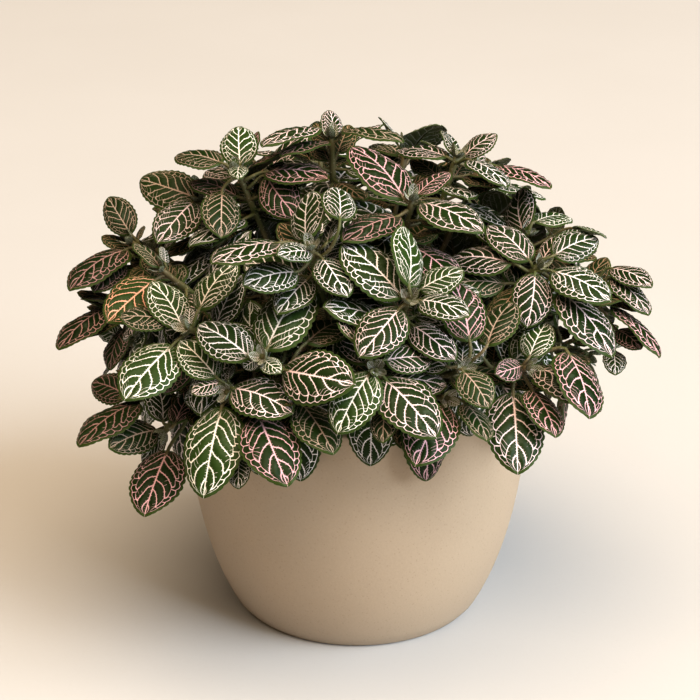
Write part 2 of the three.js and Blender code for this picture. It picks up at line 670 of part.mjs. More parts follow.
// Gives each shoot a root in the soil: low shoots root near the rim and high ones near the middle.
function rootOf(tip, turn) {
  const level = Math.atan2(tip.z - DOME.middle, Math.hypot(tip.x, tip.y));
  const reach = ROOTS.reach * (1 - (ROOTS.draw * Math.max(0, level)) / (Math.PI / 2));
  const bearing = Math.atan2(tip.y, tip.x) + turn;
  return point(reach * Math.cos(bearing), reach * Math.sin(bearing), 0);
}

// Whether two solids' boxes come near each other.
function near(a, b) {
  const apart = (axis) => a.min[axis] > b.max[axis] || b.min[axis] > a.max[axis];
  return !(apart(0) || apart(1) || apart(2));
}

// Whether a solid meets any of some pieces.
function meets(solid, pieces) {
  const box = solid.boundingBox();
  return pieces.some((piece) => near(box, piece.box) && !solid.intersect(piece.solid).isEmpty());
}

// A solid with its box, for testing against.
const boxed = (solid) => ({ solid, box: solid.boundingBox() });

const pot = makePot();
const shoots = [
  ...SHOOTS.map(({ at, out, leaves }) => ({ tip: onDome(at, out), leaves, pairs: UNDER_PAIRS })),
  ...backShoots(),
];

// Stems first: each turns its root round the pot until it clears the stems before it
const roots = [];
shoots.forEach((shoot, order) => {
  shoot.facing = domeFacing(shoot.tip).addScaledVector(UP, STEM.outward).normalize();
  shoot.spin = 2 * Math.PI * draw(order, 4);
  for (let step = 0; step < ROOTS.tries; step += 1) {
    const turn = (step % 2 ? 1 : -1) * Math.ceil(step / 2) * ROOTS.turn;
    shoot.root = rootOf(shoot.tip, turn);
    if (roots.some((other) => other.distanceTo(shoot.root) < ROOTS.apart)) continue;
    shoot.line = stemLine(shoot);
    const room = shootSolid(shoot, [], CLEAR);
    if (!meets(room, [boxed(pot), ...shoots.flatMap((other) => other.pieces ?? [])])) break;
  }
  roots.push(shoot.root);
  shoot.pieces = [boxed(shootSolid(shoot, [], 0))];
  shoot.leavesOn = [];
  shoot.springs = JOINTS.flatMap((_, joint) => [0, 1, 2, 3].map((side) => springAt(shoot, joint, side)));
});

const soil = makeSoil(roots);
const fixed = [pot, soil].map(boxed);

// Puts a leaf on a shoot in the first of its ways that is clear of all else. A leaf with no such way is
// left out.
function place(shoot, ways) {
  const others = shoots.filter((other) => other !== shoot).flatMap((other) => other.pieces);
  for (const way of ways) {
    const springs = way.spring ? [way.spring] : bestSprings(shoot, way);
    for (const spring of springs) {
      const leaf = { ...way, spring };
      const room = leafSolid(leaf, CLEAR / 2);
      if (room.boundingBox().min[2] < LOWEST || meets(room, fixed) || meets(room, others)) continue;
      if (meets(leafSolid(leaf, OWN_CLEAR), shoot.pieces)) continue;
      shoot.pieces.push(boxed(leafSolid(leaf, 0)));
      shoot.leavesOn.push(leaf);
      return;
    }
  }
}

// The leaves read from the view come first, the longest before the shorter
const read = shoots.flatMap((shoot) => shoot.leaves.map((leaf) => ({ shoot, leaf })));
read.sort((a, b) => b.leaf.length - a.leaf.length);
read.forEach(({ shoot, leaf }) => place(shoot, seenLeaves(shoot, leaf)));
shoots.forEach((shoot, order) => {
  const turn = Math.floor(2 * draw(order, 3));
  shoot.pairs.forEach((pair, index) => {
    for (const side of [0, 2]) place(shoot, pairLeaves(shoot, pair, turn + index + side));
  });
});

const plant = new THREE.Group();
plant.add(meshOf("pot", pot, 0xb39a7d, 0.75));
plant.add(meshOf("soil", soil, 0x2a211a, 1));
shoots.forEach((shoot, order) => {
  const solid = shootSolid(shoot, shoot.leavesOn, 0);
  plant.add(meshOf(`leafy_stem_${String(order + 1).padStart(2, "0")}`, solid, 0x2f4a24, 0.5));
});

export default plant;
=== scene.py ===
"""The looks of a potted nerve plant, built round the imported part.

Veined leaves grow on hairy stems out of the soil in a round stone pot. Sizes are in millimetres, with the
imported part's own origin and axes, and turn into metres as a mesh is written. Only the studio's floor and
lights are sized in metres.
"""

import json
import logging
import math
from dataclasses import dataclass, field
from enum import Enum, IntEnum

import bmesh
import bpy
import numpy as np
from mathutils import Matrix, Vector, noise

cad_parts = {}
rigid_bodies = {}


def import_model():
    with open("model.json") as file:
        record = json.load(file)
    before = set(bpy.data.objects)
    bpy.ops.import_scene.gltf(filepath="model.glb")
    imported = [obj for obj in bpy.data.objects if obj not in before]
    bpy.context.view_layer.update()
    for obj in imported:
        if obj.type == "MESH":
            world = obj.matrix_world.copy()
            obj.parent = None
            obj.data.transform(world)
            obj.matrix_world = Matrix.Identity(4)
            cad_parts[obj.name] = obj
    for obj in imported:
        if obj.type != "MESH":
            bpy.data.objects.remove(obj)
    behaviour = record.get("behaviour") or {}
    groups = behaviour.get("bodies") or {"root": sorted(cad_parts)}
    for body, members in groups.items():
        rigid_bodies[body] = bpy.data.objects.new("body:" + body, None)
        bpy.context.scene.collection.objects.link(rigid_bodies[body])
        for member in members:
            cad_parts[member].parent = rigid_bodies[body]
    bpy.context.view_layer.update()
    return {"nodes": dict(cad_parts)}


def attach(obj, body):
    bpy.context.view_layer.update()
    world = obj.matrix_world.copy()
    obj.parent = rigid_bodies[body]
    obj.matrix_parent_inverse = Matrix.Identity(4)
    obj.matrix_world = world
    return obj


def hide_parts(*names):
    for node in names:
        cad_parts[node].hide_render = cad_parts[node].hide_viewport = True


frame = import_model()

LOG = logging.getLogger("nerve_plant")
MM = 0.001
Array = np.ndarray
Colour = tuple[float, float, float]


class LeafKind(Enum):
    """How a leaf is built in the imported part, by the rows of corners from its stem to its tip."""

    STALKED = (2, 3, 3, 3, 1)
    PLAIN = (3, 3, 1)
    SMALL = (3, 1)


class Tint(Enum):
    """The colour of a leaf's veins, and how fresh its blade is: red, green, blue and freshness."""

    WHITE = (0.96, 0.91, 0.92, 0.30)
    FRESH = (0.96, 0.94, 0.88, 0.90)
    BLUSH = (0.94, 0.77, 0.79, 0.25)
    PINK = (0.80, 0.49, 0.54, 0.12)
    ROSE = (0.42, 0.25, 0.25, 0.05)
    SALMON = (0.80, 0.42, 0.30, 0.85)
    TAN = (0.50, 0.39, 0.32, 0.20)
    # Painted shade: the inner leaves' veins are dark and warm for the shade that falls inside the plant
    SHADE = (0.34, 0.22, 0.14, 0.05)


class Seed(IntEnum):
    """What is added to a leaf's or a stem's number to seed each kind of draw."""

    COLOUR = 3
    SHAPE = 7
    HAIRS = 500
    INFILL = 900


# Each stem's leaves are numbered within a hundred of their own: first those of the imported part, then the
# young leaves of the bud, then the inner leaves
NUMBERS_EACH = 100
FIRST_YOUNG = 60
FIRST_INNER = 70

# Where the tips of the leaves whose veins aren't plain white lie in the 700 by 700 picture, and how far from
# there, in pixels, a leaf's own tip may show
SEEN_TIPS = {
    Tint.FRESH: [(203, 498), (405, 226), (124, 400), (152, 281), (236, 262), (311, 283), (337, 434),
                 (547, 322), (239, 126), (571, 218), (142, 463)],
    Tint.BLUSH: [(293, 413), (355, 384), (518, 474), (359, 357), (613, 357), (521, 188), (211, 263),
                 (527, 328), (587, 404), (437, 438), (157, 243), (484, 232), (262, 146), (449, 260)],
    Tint.PINK: [(454, 281), (288, 486), (415, 466), (144, 516), (298, 218), (329, 179), (351, 146),
                (590, 418), (551, 188), (556, 437), (660, 357), (641, 349)],
    Tint.ROSE: [(92, 382), (78, 446), (69, 290), (58, 349), (110, 370), (94, 292), (615, 375), (281, 156)],
    Tint.SALMON: [(107, 322)],
    Tint.TAN: [(487, 441), (489, 408), (383, 443), (334, 454), (109, 448), (140, 179), (175, 156),
               (513, 302), (343, 322), (239, 489), (119, 317), (403, 142), (108, 197)],
}
TIP_REACH = 7.0

# Which tint any other leaf draws: each up to this share of the draws, and past them all the last one
DRAWN_TINTS = ((Tint.WHITE, 0.6), (Tint.BLUSH, 0.8), (Tint.FRESH, 0.88), (Tint.PINK, 0.92), (Tint.TAN, 0.97))
LAST_TINT = Tint.ROSE

# Directions that no stem and no hair runs along, from which the directions across them are worked out
OFF_STEM = np.array([0.31, 0.87, 0.4])
OFF_HAIR = np.array([0.3, 0.5, 0.81])

# Where a drawn line's edge starts and ends to fade, in half widths of the line
LINE_EDGES = (0.6, 1.4)


def unit(vector: Array) -> Array:
    """Gives a vector's direction, with length one."""
    return vector / np.linalg.norm(vector)


def units(rows: Array) -> Array:
    """Gives the direction of each row, with length one."""
    return rows / np.linalg.norm(rows, axis=1)[:, None]


def arc(ends: list, share: Array | float) -> Array:
    """Finds places on a smooth curve from the first of four places to the last, which the others pull."""
    weights = [(1 - share) ** 3, 3 * share * (1 - share) ** 2, 3 * share**2 * (1 - share), share**3]
    return sum(weight * np.asarray(end) for weight, end in zip(weights, ends))


def deselect() -> None:
    """Leaves nothing selected, so that the next operator acts on its own piece alone."""
    for item in bpy.context.selected_objects:
        item.select_set(False)


def activate(piece: bpy.types.Object) -> None:
    """Selects one piece, alone, and makes it active.

    Args:
        piece: The piece.
    """
    deselect()
    piece.select_set(True)
    bpy.context.view_layer.objects.active = piece


def coordinates(mesh: bpy.types.Mesh) -> Array:
    """Reads a mesh's vertex places.

    Args:
        mesh: The mesh to read.

    Returns:
        One row of x, y and z for each vertex.
    """
    flat = np.zeros(3 * len(mesh.vertices), np.float32)
    mesh.vertices.foreach_get("co", flat)
    return flat.reshape(-1, 3).astype(float)


def write_coordinates(mesh: bpy.types.Mesh, places: Array) -> None:
    """Writes places in millimetres, one row for each vertex, into a mesh in metres."""
    mesh.vertices.foreach_set("co", (places * MM).astype(np.float32).ravel())
    mesh.update()


def copy_of(master: bpy.types.Object, name: str) -> bpy.types.Object:
    """Copies a master piece with a mesh of its own.

    Args:
        master: The piece to copy.
        name: The copy's name.

    Returns:
        The copy, linked to the scene.
    """
    piece = bpy.data.objects.new(name, master.data.copy())
    bpy.context.scene.collection.objects.link(piece)
    return piece


def set_values(mesh: bpy.types.Mesh, name: str, values: Array) -> None:
    """Stores a number or a colour at each vertex under a name.

    Args:
        mesh: The mesh that holds them.
        name: The attribute's name.
        values: One number, or one row of red, green, blue and alpha, for each vertex.
    """
    kind, key = ("FLOAT", "value") if values.ndim == 1 else ("FLOAT_COLOR", "color")
    attribute = mesh.attributes.new(name, kind, "POINT")
    attribute.data.foreach_set(key, values.astype(np.float32).ravel())


@dataclass(frozen=True)
class View:
    """A view of the plant, with the camera that gives it: the picture's, unless it is told otherwise."""

    elevation: float = 23.4
    azimuth: float = 0.0
    distance: float = 850.0
    target: tuple[float, float, float] = (-2.85, 0.0, 107.4)
    focal_pixels: float = 2124.0
    width_pixels: float = 700.0
    sensor: float = 36.0
    farthest: float = 20000.0

    def right(self) -> Array:
        """Gives the direction to the picture's right."""
        turn = math.radians(self.azimuth)
        return np.array([math.cos(turn), math.sin(turn), 0.0])

    def towards_eye(self) -> Array:
        """Gives the direction from the plant to the eye."""
        tilt = math.radians(self.elevation)
        return np.array([0.0, 0.0, math.sin(tilt)]) + math.cos(tilt) * np.cross(self.right(), [0.0, 0.0, 1.0])

    def eye(self) -> Array:
        """Gives the eye's place."""
        return np.array(self.target) + self.distance * self.towards_eye()

    def pixel(self, places: Array) -> Array:
        """Finds where places show in the picture.

        Args:
            places: One place on the plant, or rows of them.

        Returns:
            Their pixels, across and down.
        """
        back, right = self.towards_eye(), self.right()
        away = places - self.eye()
        scale = self.focal_pixels / -(away @ back)
        middle = self.width_pixels / 2
        across, up = away @ right, away @ np.cross(back, right)
        return np.stack([middle + across * scale, middle - up * scale], axis=-1)

    def depth(self, places: Array) -> Array:
        """Gives how far in front of the eye places are."""
        return (self.eye() - places) @ self.towards_eye()

    def place_camera(self) -> None:
        """Adds the camera at the eye, looking at the target."""
        lens = self.focal_pixels * self.sensor / self.width_pixels
        turn = (math.radians(90 - self.elevation), 0.0, 0.0)
        bpy.ops.object.camera_add(location=Vector(self.eye() * MM), rotation=turn)
        camera = bpy.context.object
        camera.name = "camera"
        camera.data.lens = lens
        camera.data.sensor_width = self.sensor
        camera.data.clip_end = self.farthest * MM
        bpy.context.scene.camera = camera


@dataclass(frozen=True)
class BladeForm:
    """A blade's outline, with shares from foot to tip, and how far it arches and folds."""

    base_power: float = 0.55
    tip_power: float = 0.58
    arch: float = 0.09
    fold: float = 0.22
    aspect: float = 0.7

    @property
    def top(self) -> float:
        """The outline's greatest value, by which it is divided."""
        widest = self.base_power / (self.base_power + self.tip_power)
        return widest**self.base_power * (1 - widest) ** self.tip_power

    def half_width(self, share: Array) -> Array:
        """Gives the half width at a share of the length, as a share of the widest."""
        return share**self.base_power * (1 - share) ** self.tip_power / self.top


@dataclass(frozen=True)
class VeinPlan:
    """How the veins lie in a blade, in shares of its length, for the relief and the colour alike.

    Side veins leave the midrib in pairs, which crowd towards the tip, lean and sweep forward, and end at a
    ring of loops that joins them. Outside the loops, cross veins part a ring of small cells, and a chain of
    bows closes them at the rim. Rungs are the short veins that stand on the side veins, and thorns those
    that stand on the midrib.
    """

    pairs: float = 6.8
    crowd: float = 0.75
    start: float = 0.02
    lean: float = 0.22
    sweep: float = 0.13
    stagger: float = 0.03
    cells: float = 15.0
    ring: float = 0.88
    ring_end: float = 0.03
    loop: float = 0.72
    loop_bow: float = 0.09
    chain: float = 0.96
    chain_bow: float = 0.05
    rungs: float = 20.0
    rung_out: float = 4.0
    rung_share: float = 15.0
    cross_slope: float = 1.25
    thorns: float = 27.0
    thorn_stagger: float = 0.2
    least_inner: float = 0.002

    def phase(self, share: Array, side: Array) -> Array:
        """Counts the side veins up to a place in the blade.

        Args:
            share: How far the place is from foot to tip.
            side: How far it is from the midrib to the margin, from -1 to 1.

        Returns:
            A number that is whole on each side vein.
        """
        out = np.abs(side) / self.ring
        from_foot = share - self.lean * out - self.sweep * out**2 + self.stagger * np.sign(side)
        return self.pairs * (np.maximum(from_foot, 0) + self.start) ** self.crowd


@dataclass(frozen=True)
class VeinWidths:
    """Half the width of each kind of vein, in lengths of the blade, and how much the long ones taper."""

    midrib: float = 0.0120
    midrib_taper: float = 0.0068
    side: float = 0.0068
    side_taper: float = 0.0020
    loop: float = 0.0044
    chain: float = 0.0042
    cross: float = 0.0040
    rung: float = 0.0030
    thorn: float = 0.0028
    faint: float = 0.7
    narrow_share: float = 0.4


@dataclass(frozen=True)
class VeinWander:
    """How far the veins stray from their plan, by smooth random values from about -0.3 to 0.3."""

    scale: float = 2.4
    across: float = 1.6
    along: float = 2.4
    seed_step: float = 40.0
    out: float = 0.12
    share: float = 0.10
    loop: float = 0.06
    cell: float = 0.8
    rung: float = 3.0
    thorn: float = 5.0


@dataclass(frozen=True)
class VeinFades:
    """Between which two values each kind of vein fades in or out."""

    narrow: tuple[float, float] = (0.0, 0.22)
    broad: tuple[float, float] = (0.05, 0.12)
    rim: tuple[float, float] = (0.96, 1.02)
    cross_rim: tuple[float, float] = (0.97, 1.02)
    tip: tuple[float, float] = (0.965, 0.975)
    loop: tuple[float, float] = (-0.02, 0.02)
    side: tuple[float, float] = (0.0, 0.03)
    stub: tuple[float, float] = (0.010, 0.022)
    rung_patch: tuple[float, float] = (0.06, 0.08)
    rung_out: tuple[float, float] = (0.4, 0.45)
    thorn: tuple[float, float] = (0.014, 0.026)
    swell: tuple[float, float] = (0.0, 0.05)


PACKED_BLADE = BladeForm()
BLADE = BladeForm(tip_power=0.67)
VEINS = VeinPlan()
WIDTHS = VeinWidths()
WANDER = VeinWander()
FADES = VeinFades()
VIEW = View()
OTHER_VIEWS = tuple(View(elevation=20.0, azimuth=azimuth) for azimuth in (90.0, 180.0, 270.0))


@dataclass
class Leaf:
    """One leaf: where it springs from, its blade's foot and tip, and the way that its face looks."""

    kind: LeafKind
    spring: Array
    foot: Array
    tip: Array
    face: Array
    width: float
    number: int
    arch: float = BLADE.arch
    fold: float = BLADE.fold
    inner: bool = False

    @property
    def length(self) -> float:
        """The blade's length."""
        return float(np.linalg.norm(self.tip - self.foot))

    @property
    def young(self) -> bool:
        """Whether it is one of a bud's young leaves, which alone fold backwards."""
        return self.fold < 0

    @property
    def along(self) -> Array:
        """The direction from foot to tip."""
        return unit(self.tip - self.foot)

    @property
    def across(self) -> Array:
        """The direction from the blade's left to its right."""
        return unit(np.cross(self.along, self.face))

    def tint(self) -> Tint:
        """Chooses the veins' colour: the picture's, where the leaf's tip shows there, or a seeded draw.

        Returns:
            The tint.
        """
        if self.young:
            return Tint.WHITE
        # An inner leaf's veins take the painted shade of the plant's interior
        if self.inner:
            return Tint.SHADE
        if self.kind is not LeafKind.SMALL:
            seen = VIEW.pixel(self.tip)
            for tint, tips in SEEN_TIPS.items():
                if any(np.hypot(*(seen - tip)) < TIP_REACH for tip in tips):
                    return tint
        choice = np.random.default_rng(self.number).random()
        return next((tint for tint, below in DRAWN_TINTS if choice < below), LAST_TINT)

    def spots(self, shares: Array, sides: Array) -> Array:
        """Finds places on the blade.

        Args:
            shares: How far each is from foot to tip.
            sides: How far each is across, from -1 at one margin to 1 at the other.

        Returns:
            One place for each.
        """
        rises = 4 * self.arch * self.length * shares * (1 - shares)
        across = sides * self.width / 2 * BLADE.half_width(shares)
        places = self.foot + self.length * shares[:, None] * self.along
        return places + across[:, None] * self.across + rises[:, None] * self.face

    def samples(self) -> Array:
        """Gives a few places spread over the blade: one near its foot, two rows of three, and its tip."""
        return self.spots(np.array([0.1, 0.35, 0.35, 0.35, 0.65, 0.65, 0.65, 1.0]),
                          np.array([0, -0.85, 0, 0.85, -0.85, 0, 0.85, 0]))

    def mesh_of_spots(self) -> Array:
        """Gives places all over the blade, about two millimetres apart."""
        shares, sides = np.meshgrid(np.linspace(0.06, 0.94, 14), np.linspace(-0.9, 0.9, 10))
        return self.spots(shares.ravel(), sides.ravel())


@dataclass
class StemReader:
    """Reads the leaves and the stem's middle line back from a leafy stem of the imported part."""

    node: bpy.types.Object
    thickness: float = 0.9
    radius: float = 1.5
    slack: float = 0.02
    merge: float = 0.003
    level_slack: float = 0.1
    side_slack: float = 0.06
    least_alike: float = 0.999
    foot_rounds: int = 12
    stations: dict[LeafKind, tuple[float, ...]] = field(default_factory=lambda: {
        LeafKind.STALKED: (0.2, 0.52, 0.83), LeafKind.PLAIN: (0.28, 0.68), LeafKind.SMALL: (0.48,)})

    def __post_init__(self) -> None:
        """Merges a copy of the node's loose triangles, and keeps its corners and their neighbours."""
        solid = bmesh.new()
        solid.from_mesh(self.node.data)
        bmesh.ops.remove_doubles(solid, verts=solid.verts, dist=self.merge * MM)
        solid.verts.index_update()
        self.corners = np.array([corner.co[:] for corner in solid.verts]) / MM
        self.joined = [{edge.other_vert(corner).index for edge in corner.link_edges}
                       for corner in solid.verts]
        solid.free()

    def middle(self, pair: tuple[int, int]) -> Array:
        """Gives the place half way between a pair's two corners."""
        return (self.corners[pair[0]] + self.corners[pair[1]]) / 2

    def edge_pairs(self) -> list[tuple[int, int]]:
        """Finds the corners that an edge as long as a blade is thick joins.

        Returns:
            The pairs of corners.
        """
        found = []
        for first, others in enumerate(self.joined):
            for second in (other for other in others if other > first):
                span = np.linalg.norm(self.corners[first] - self.corners[second])
                if abs(span - self.thickness) < self.slack:
                    found.append((first, second))
        return found

    def joint_pairs(self, pairs: list[tuple[int, int]]) -> set[tuple[int, int]]:
        """Picks the pairs that stand on a square round the stem, where leaves spring from it.

        Args:
            pairs: The pairs to choose from.

        Returns:
            Those that belong to the stem.
        """
        middles = np.array([self.middle(pair) for pair in pairs])
        ways = np.array([unit(self.corners[a] - self.corners[b]) for a, b in pairs])
        side, chosen = self.radius * math.sqrt(2), set()
        for index, pair in enumerate(pairs):
            away = middles - middles[index]
            level = np.abs(away @ ways[index]) < self.level_slack
            alike = np.abs(ways @ ways[index]) > self.least_alike
            beside = np.abs(np.linalg.norm(away, axis=1) - side) < self.side_slack
            if np.count_nonzero(level & alike & beside) >= 2:
                chosen.add(pair)
        return chosen

    def blade_pairs(self) -> list[tuple[int, int]]:
        """Finds every pair of a blade's upper and lower corner, those along its midrib too.

        Returns:
            The pairs of corners.
        """
        pairs = self.edge_pairs()
        stem = {corner for pair in self.joint_pairs(pairs) for corner in pair}
        found = [pair for pair in pairs if not stem & set(pair)]
        taken = stem | {corner for pair in found for corner in pair}
        for first, second in list(found):
            step = self.corners[second] - self.corners[first]
            for corner in self.joined[first] - taken:
                gaps = np.linalg.norm(self.corners - (self.corners[corner] + step), axis=1)
                partner = int(np.argmin(gaps))
                if gaps[partner] < self.slack and partner not in taken:
                    found.append((corner, partner))
                    taken |= {corner, partner}
        return found

    def groups(self, pairs: list[tuple[int, int]]) -> list[list[tuple[int, int]]]:
        """Sorts pairs into blades: those that edges join belong together.

        Args:
            pairs: The pairs of all the blades.

        Returns:
            A list of pairs for each blade.
        """
        owner = {corner: pair for pair in pairs for corner in pair}
        left, made = set(pairs), []
        while left:
            group, edge = [], [min(left)]
            left.discard(edge[0])
            while edge:
                pair = edge.pop()
                group.append(pair)
                reached = {owner[c] for corner in pair for c in self.joined[corner] if c in owner} & left
                left -= reached
                edge.extend(sorted(reached))
            made.append(group)
        return made

    def rows(self, group: list[tuple[int, int]], blade: set[int]) -> list[list[tuple[int, int]]]:
        """Orders a blade's pairs in rows, from the stem to the tip.

        Args:
            group: The blade's pairs.
            blade: The corners of every blade on this stem.

        Returns:
            The rows, each a list of pairs.
        """
        near = [pair for pair in group
                if any(c not in blade for corner in pair for c in self.joined[corner])]
        made, left = [], set(group)
        while near:
            made.append(near)
            left -= set(near)
            reached = {c for pair in near for corner in pair for c in self.joined[corner]}
            near = [pair for pair in group if pair in left and (pair[0] in reached or pair[1] in reached)]
        return made

    def leaf(self, rows: list[list[tuple[int, int]]], blade: set[int], number: int) -> Leaf | None:
        """Works out a leaf from its rows.

        Args:
            rows: The blade's rows, from the stem to the tip.
            blade: The corners of every blade on this stem.
            number: The leaf's own number, which seeds its draws.

        Returns:
            The leaf, or None if the rows are no leaf's.
        """
        sizes = tuple(len(row) for row in rows)
        kind = next((kind for kind in LeafKind if kind.value == sizes), None)
        if kind is None:
            return None
        wide = [row for row in rows if len(row) == 3]
        middles = np.array([self.middle(pair) for pair in wide[0]])
        spans = [np.linalg.norm(middles[i - 1] - middles[i - 2]) for i in range(3)]
        order = int(np.argmax(spans))
        rib, ends = middles[order], np.delete(middles, order, axis=0)
        face = unit(self.corners[wide[0][0][0]] - self.corners[wide[0][0][1]])
        face = face * np.sign(face @ (rib - ends.mean(0)))
        tip = self.middle(rows[-1][0])
        share = self.stations[kind][0]
        foot = rib
        for _ in range(self.foot_rounds):
            rise = 4 * PACKED_BLADE.arch * np.linalg.norm(tip - foot) * share * (1 - share)
            foot = (rib - share * tip - rise * face) / (1 - share)
        stem = {c for pair in rows[0] for corner in pair for c in self.joined[corner]} - blade
        width = max(spans) / PACKED_BLADE.half_width(np.array(share))
        return Leaf(kind, self.corners[sorted(stem)].mean(0), foot, tip, face, float(width), number)

    def spine(self, blade: set[int]) -> Array:
        """Follows the stem from its foot in the soil to its tip.

        Args:
            blade: The corners of every blade on this stem.

        Returns:
            The middles of its cross sections, from low to high.
        """
        order = np.argsort(self.corners[:, 2]).tolist()
        ring = set([corner for corner in order if corner not in blade][:4])
        seen, middles = set(ring), []
        while ring:
            middles.append(self.corners[sorted(ring)].mean(0))
            ring = {c for corner in ring for c in self.joined[corner]} - seen - blade
            seen |= ring
        return np.array(middles)

    def read(self, seed: int) -> tuple[Array, list[Leaf]]:
        """Reads the whole node.

        Args:
            seed: A number that no other stem has.

        Returns:
            The stem's middle line, and its leaves.
        """
        pairs = self.blade_pairs()
        blade = {corner for pair in pairs for corner in pair}
        leaves = []
        for index, group in enumerate(self.groups(pairs)):
            leaf = self.leaf(self.rows(group, blade), blade, NUMBERS_EACH * seed + index)
            if leaf is None:
                LOG.warning("%s: %d pairs make no leaf", self.node.name, len(group))
            else:
                leaves.append(leaf)
        return self.spine(blade), leaves


@dataclass
class Tube:
    """A round stem's middle line and its radius along it."""

    middles: Array
    radii: Array

    def __post_init__(self) -> None:
        """Works out how far along the line each of its points is."""
        steps = np.linalg.norm(np.diff(self.middles, axis=0), axis=1)
        self.runs = np.concatenate([[0.0], np.cumsum(steps)])

    def at(self, share: Array) -> tuple[Array, Array]:
        """Gives the middle and the radius at shares of the length.

        Args:
            share: Shares of the length, from 0 to 1.

        Returns:
            One middle and one radius for each share.
        """
        run = share * self.runs[-1]
        middle = np.stack([np.interp(run, self.runs, self.middles[:, axis]) for axis in range(3)], axis=-1)
        return middle, np.interp(run, self.runs, self.radii)

    def frames(self, shares: Array) -> tuple[Array, Array, Array, Array]:
        """Gives cross sections that don't twist along the line.

        Args:
            shares: Rising shares of the length.

        Returns:
            For each share its middle, its radius, and the two directions across the line.
        """
        middles, radii = self.at(shares)
        ways = np.gradient(middles, axis=0)
        first, firsts = OFF_STEM, []
        for way in ways:
            way = unit(way)
            first = unit(first - way * (first @ way))
            firsts.append(first)
        firsts = np.array(firsts)
        seconds = np.cross([unit(way) for way in ways], firsts)
        return middles, radii, firsts, seconds


@dataclass
class TubeMaster:
    """A straight round tube of unit radius and length, modelled once and bent along stems and stalks."""

    sides: int
    rings: int

    def __post_init__(self) -> None:
        """Models the tube: a disc, extruded ring by ring."""
        deselect()
        bpy.ops.mesh.primitive_circle_add(vertices=self.sides, radius=1, fill_type="NGON")
        self.plate = bpy.context.object
        bpy.ops.object.mode_set(mode="EDIT")
        for _ in range(self.rings):
            bpy.ops.mesh.extrude_region_move(TRANSFORM_OT_translate={"value": (0, 0, 1 / self.rings)})
        bpy.ops.mesh.select_all(action="SELECT")
        bpy.ops.mesh.normals_make_consistent(inside=False)
        bpy.ops.object.mode_set(mode="OBJECT")
        bpy.ops.object.shade_smooth()
        self.plate.hide_render = True

    def bend(self, tube: Tube, name: str) -> bpy.types.Object:
        """Bends a copy along a line.

        Args:
            tube: The line and its radii.
            name: The copy's name.

        Returns:
            The bent copy.
        """
        piece = copy_of(self.plate, name)
        x, y, z = coordinates(piece.data).T
        ring = np.rint(z * self.rings).astype(int)
        middles, radii, firsts, seconds = tube.frames(np.linspace(0, 1, self.rings + 1))
        across = firsts[ring] * x[:, None] + seconds[ring] * y[:, None]
        write_coordinates(piece.data, middles[ring] + across * radii[ring][:, None])
        return piece


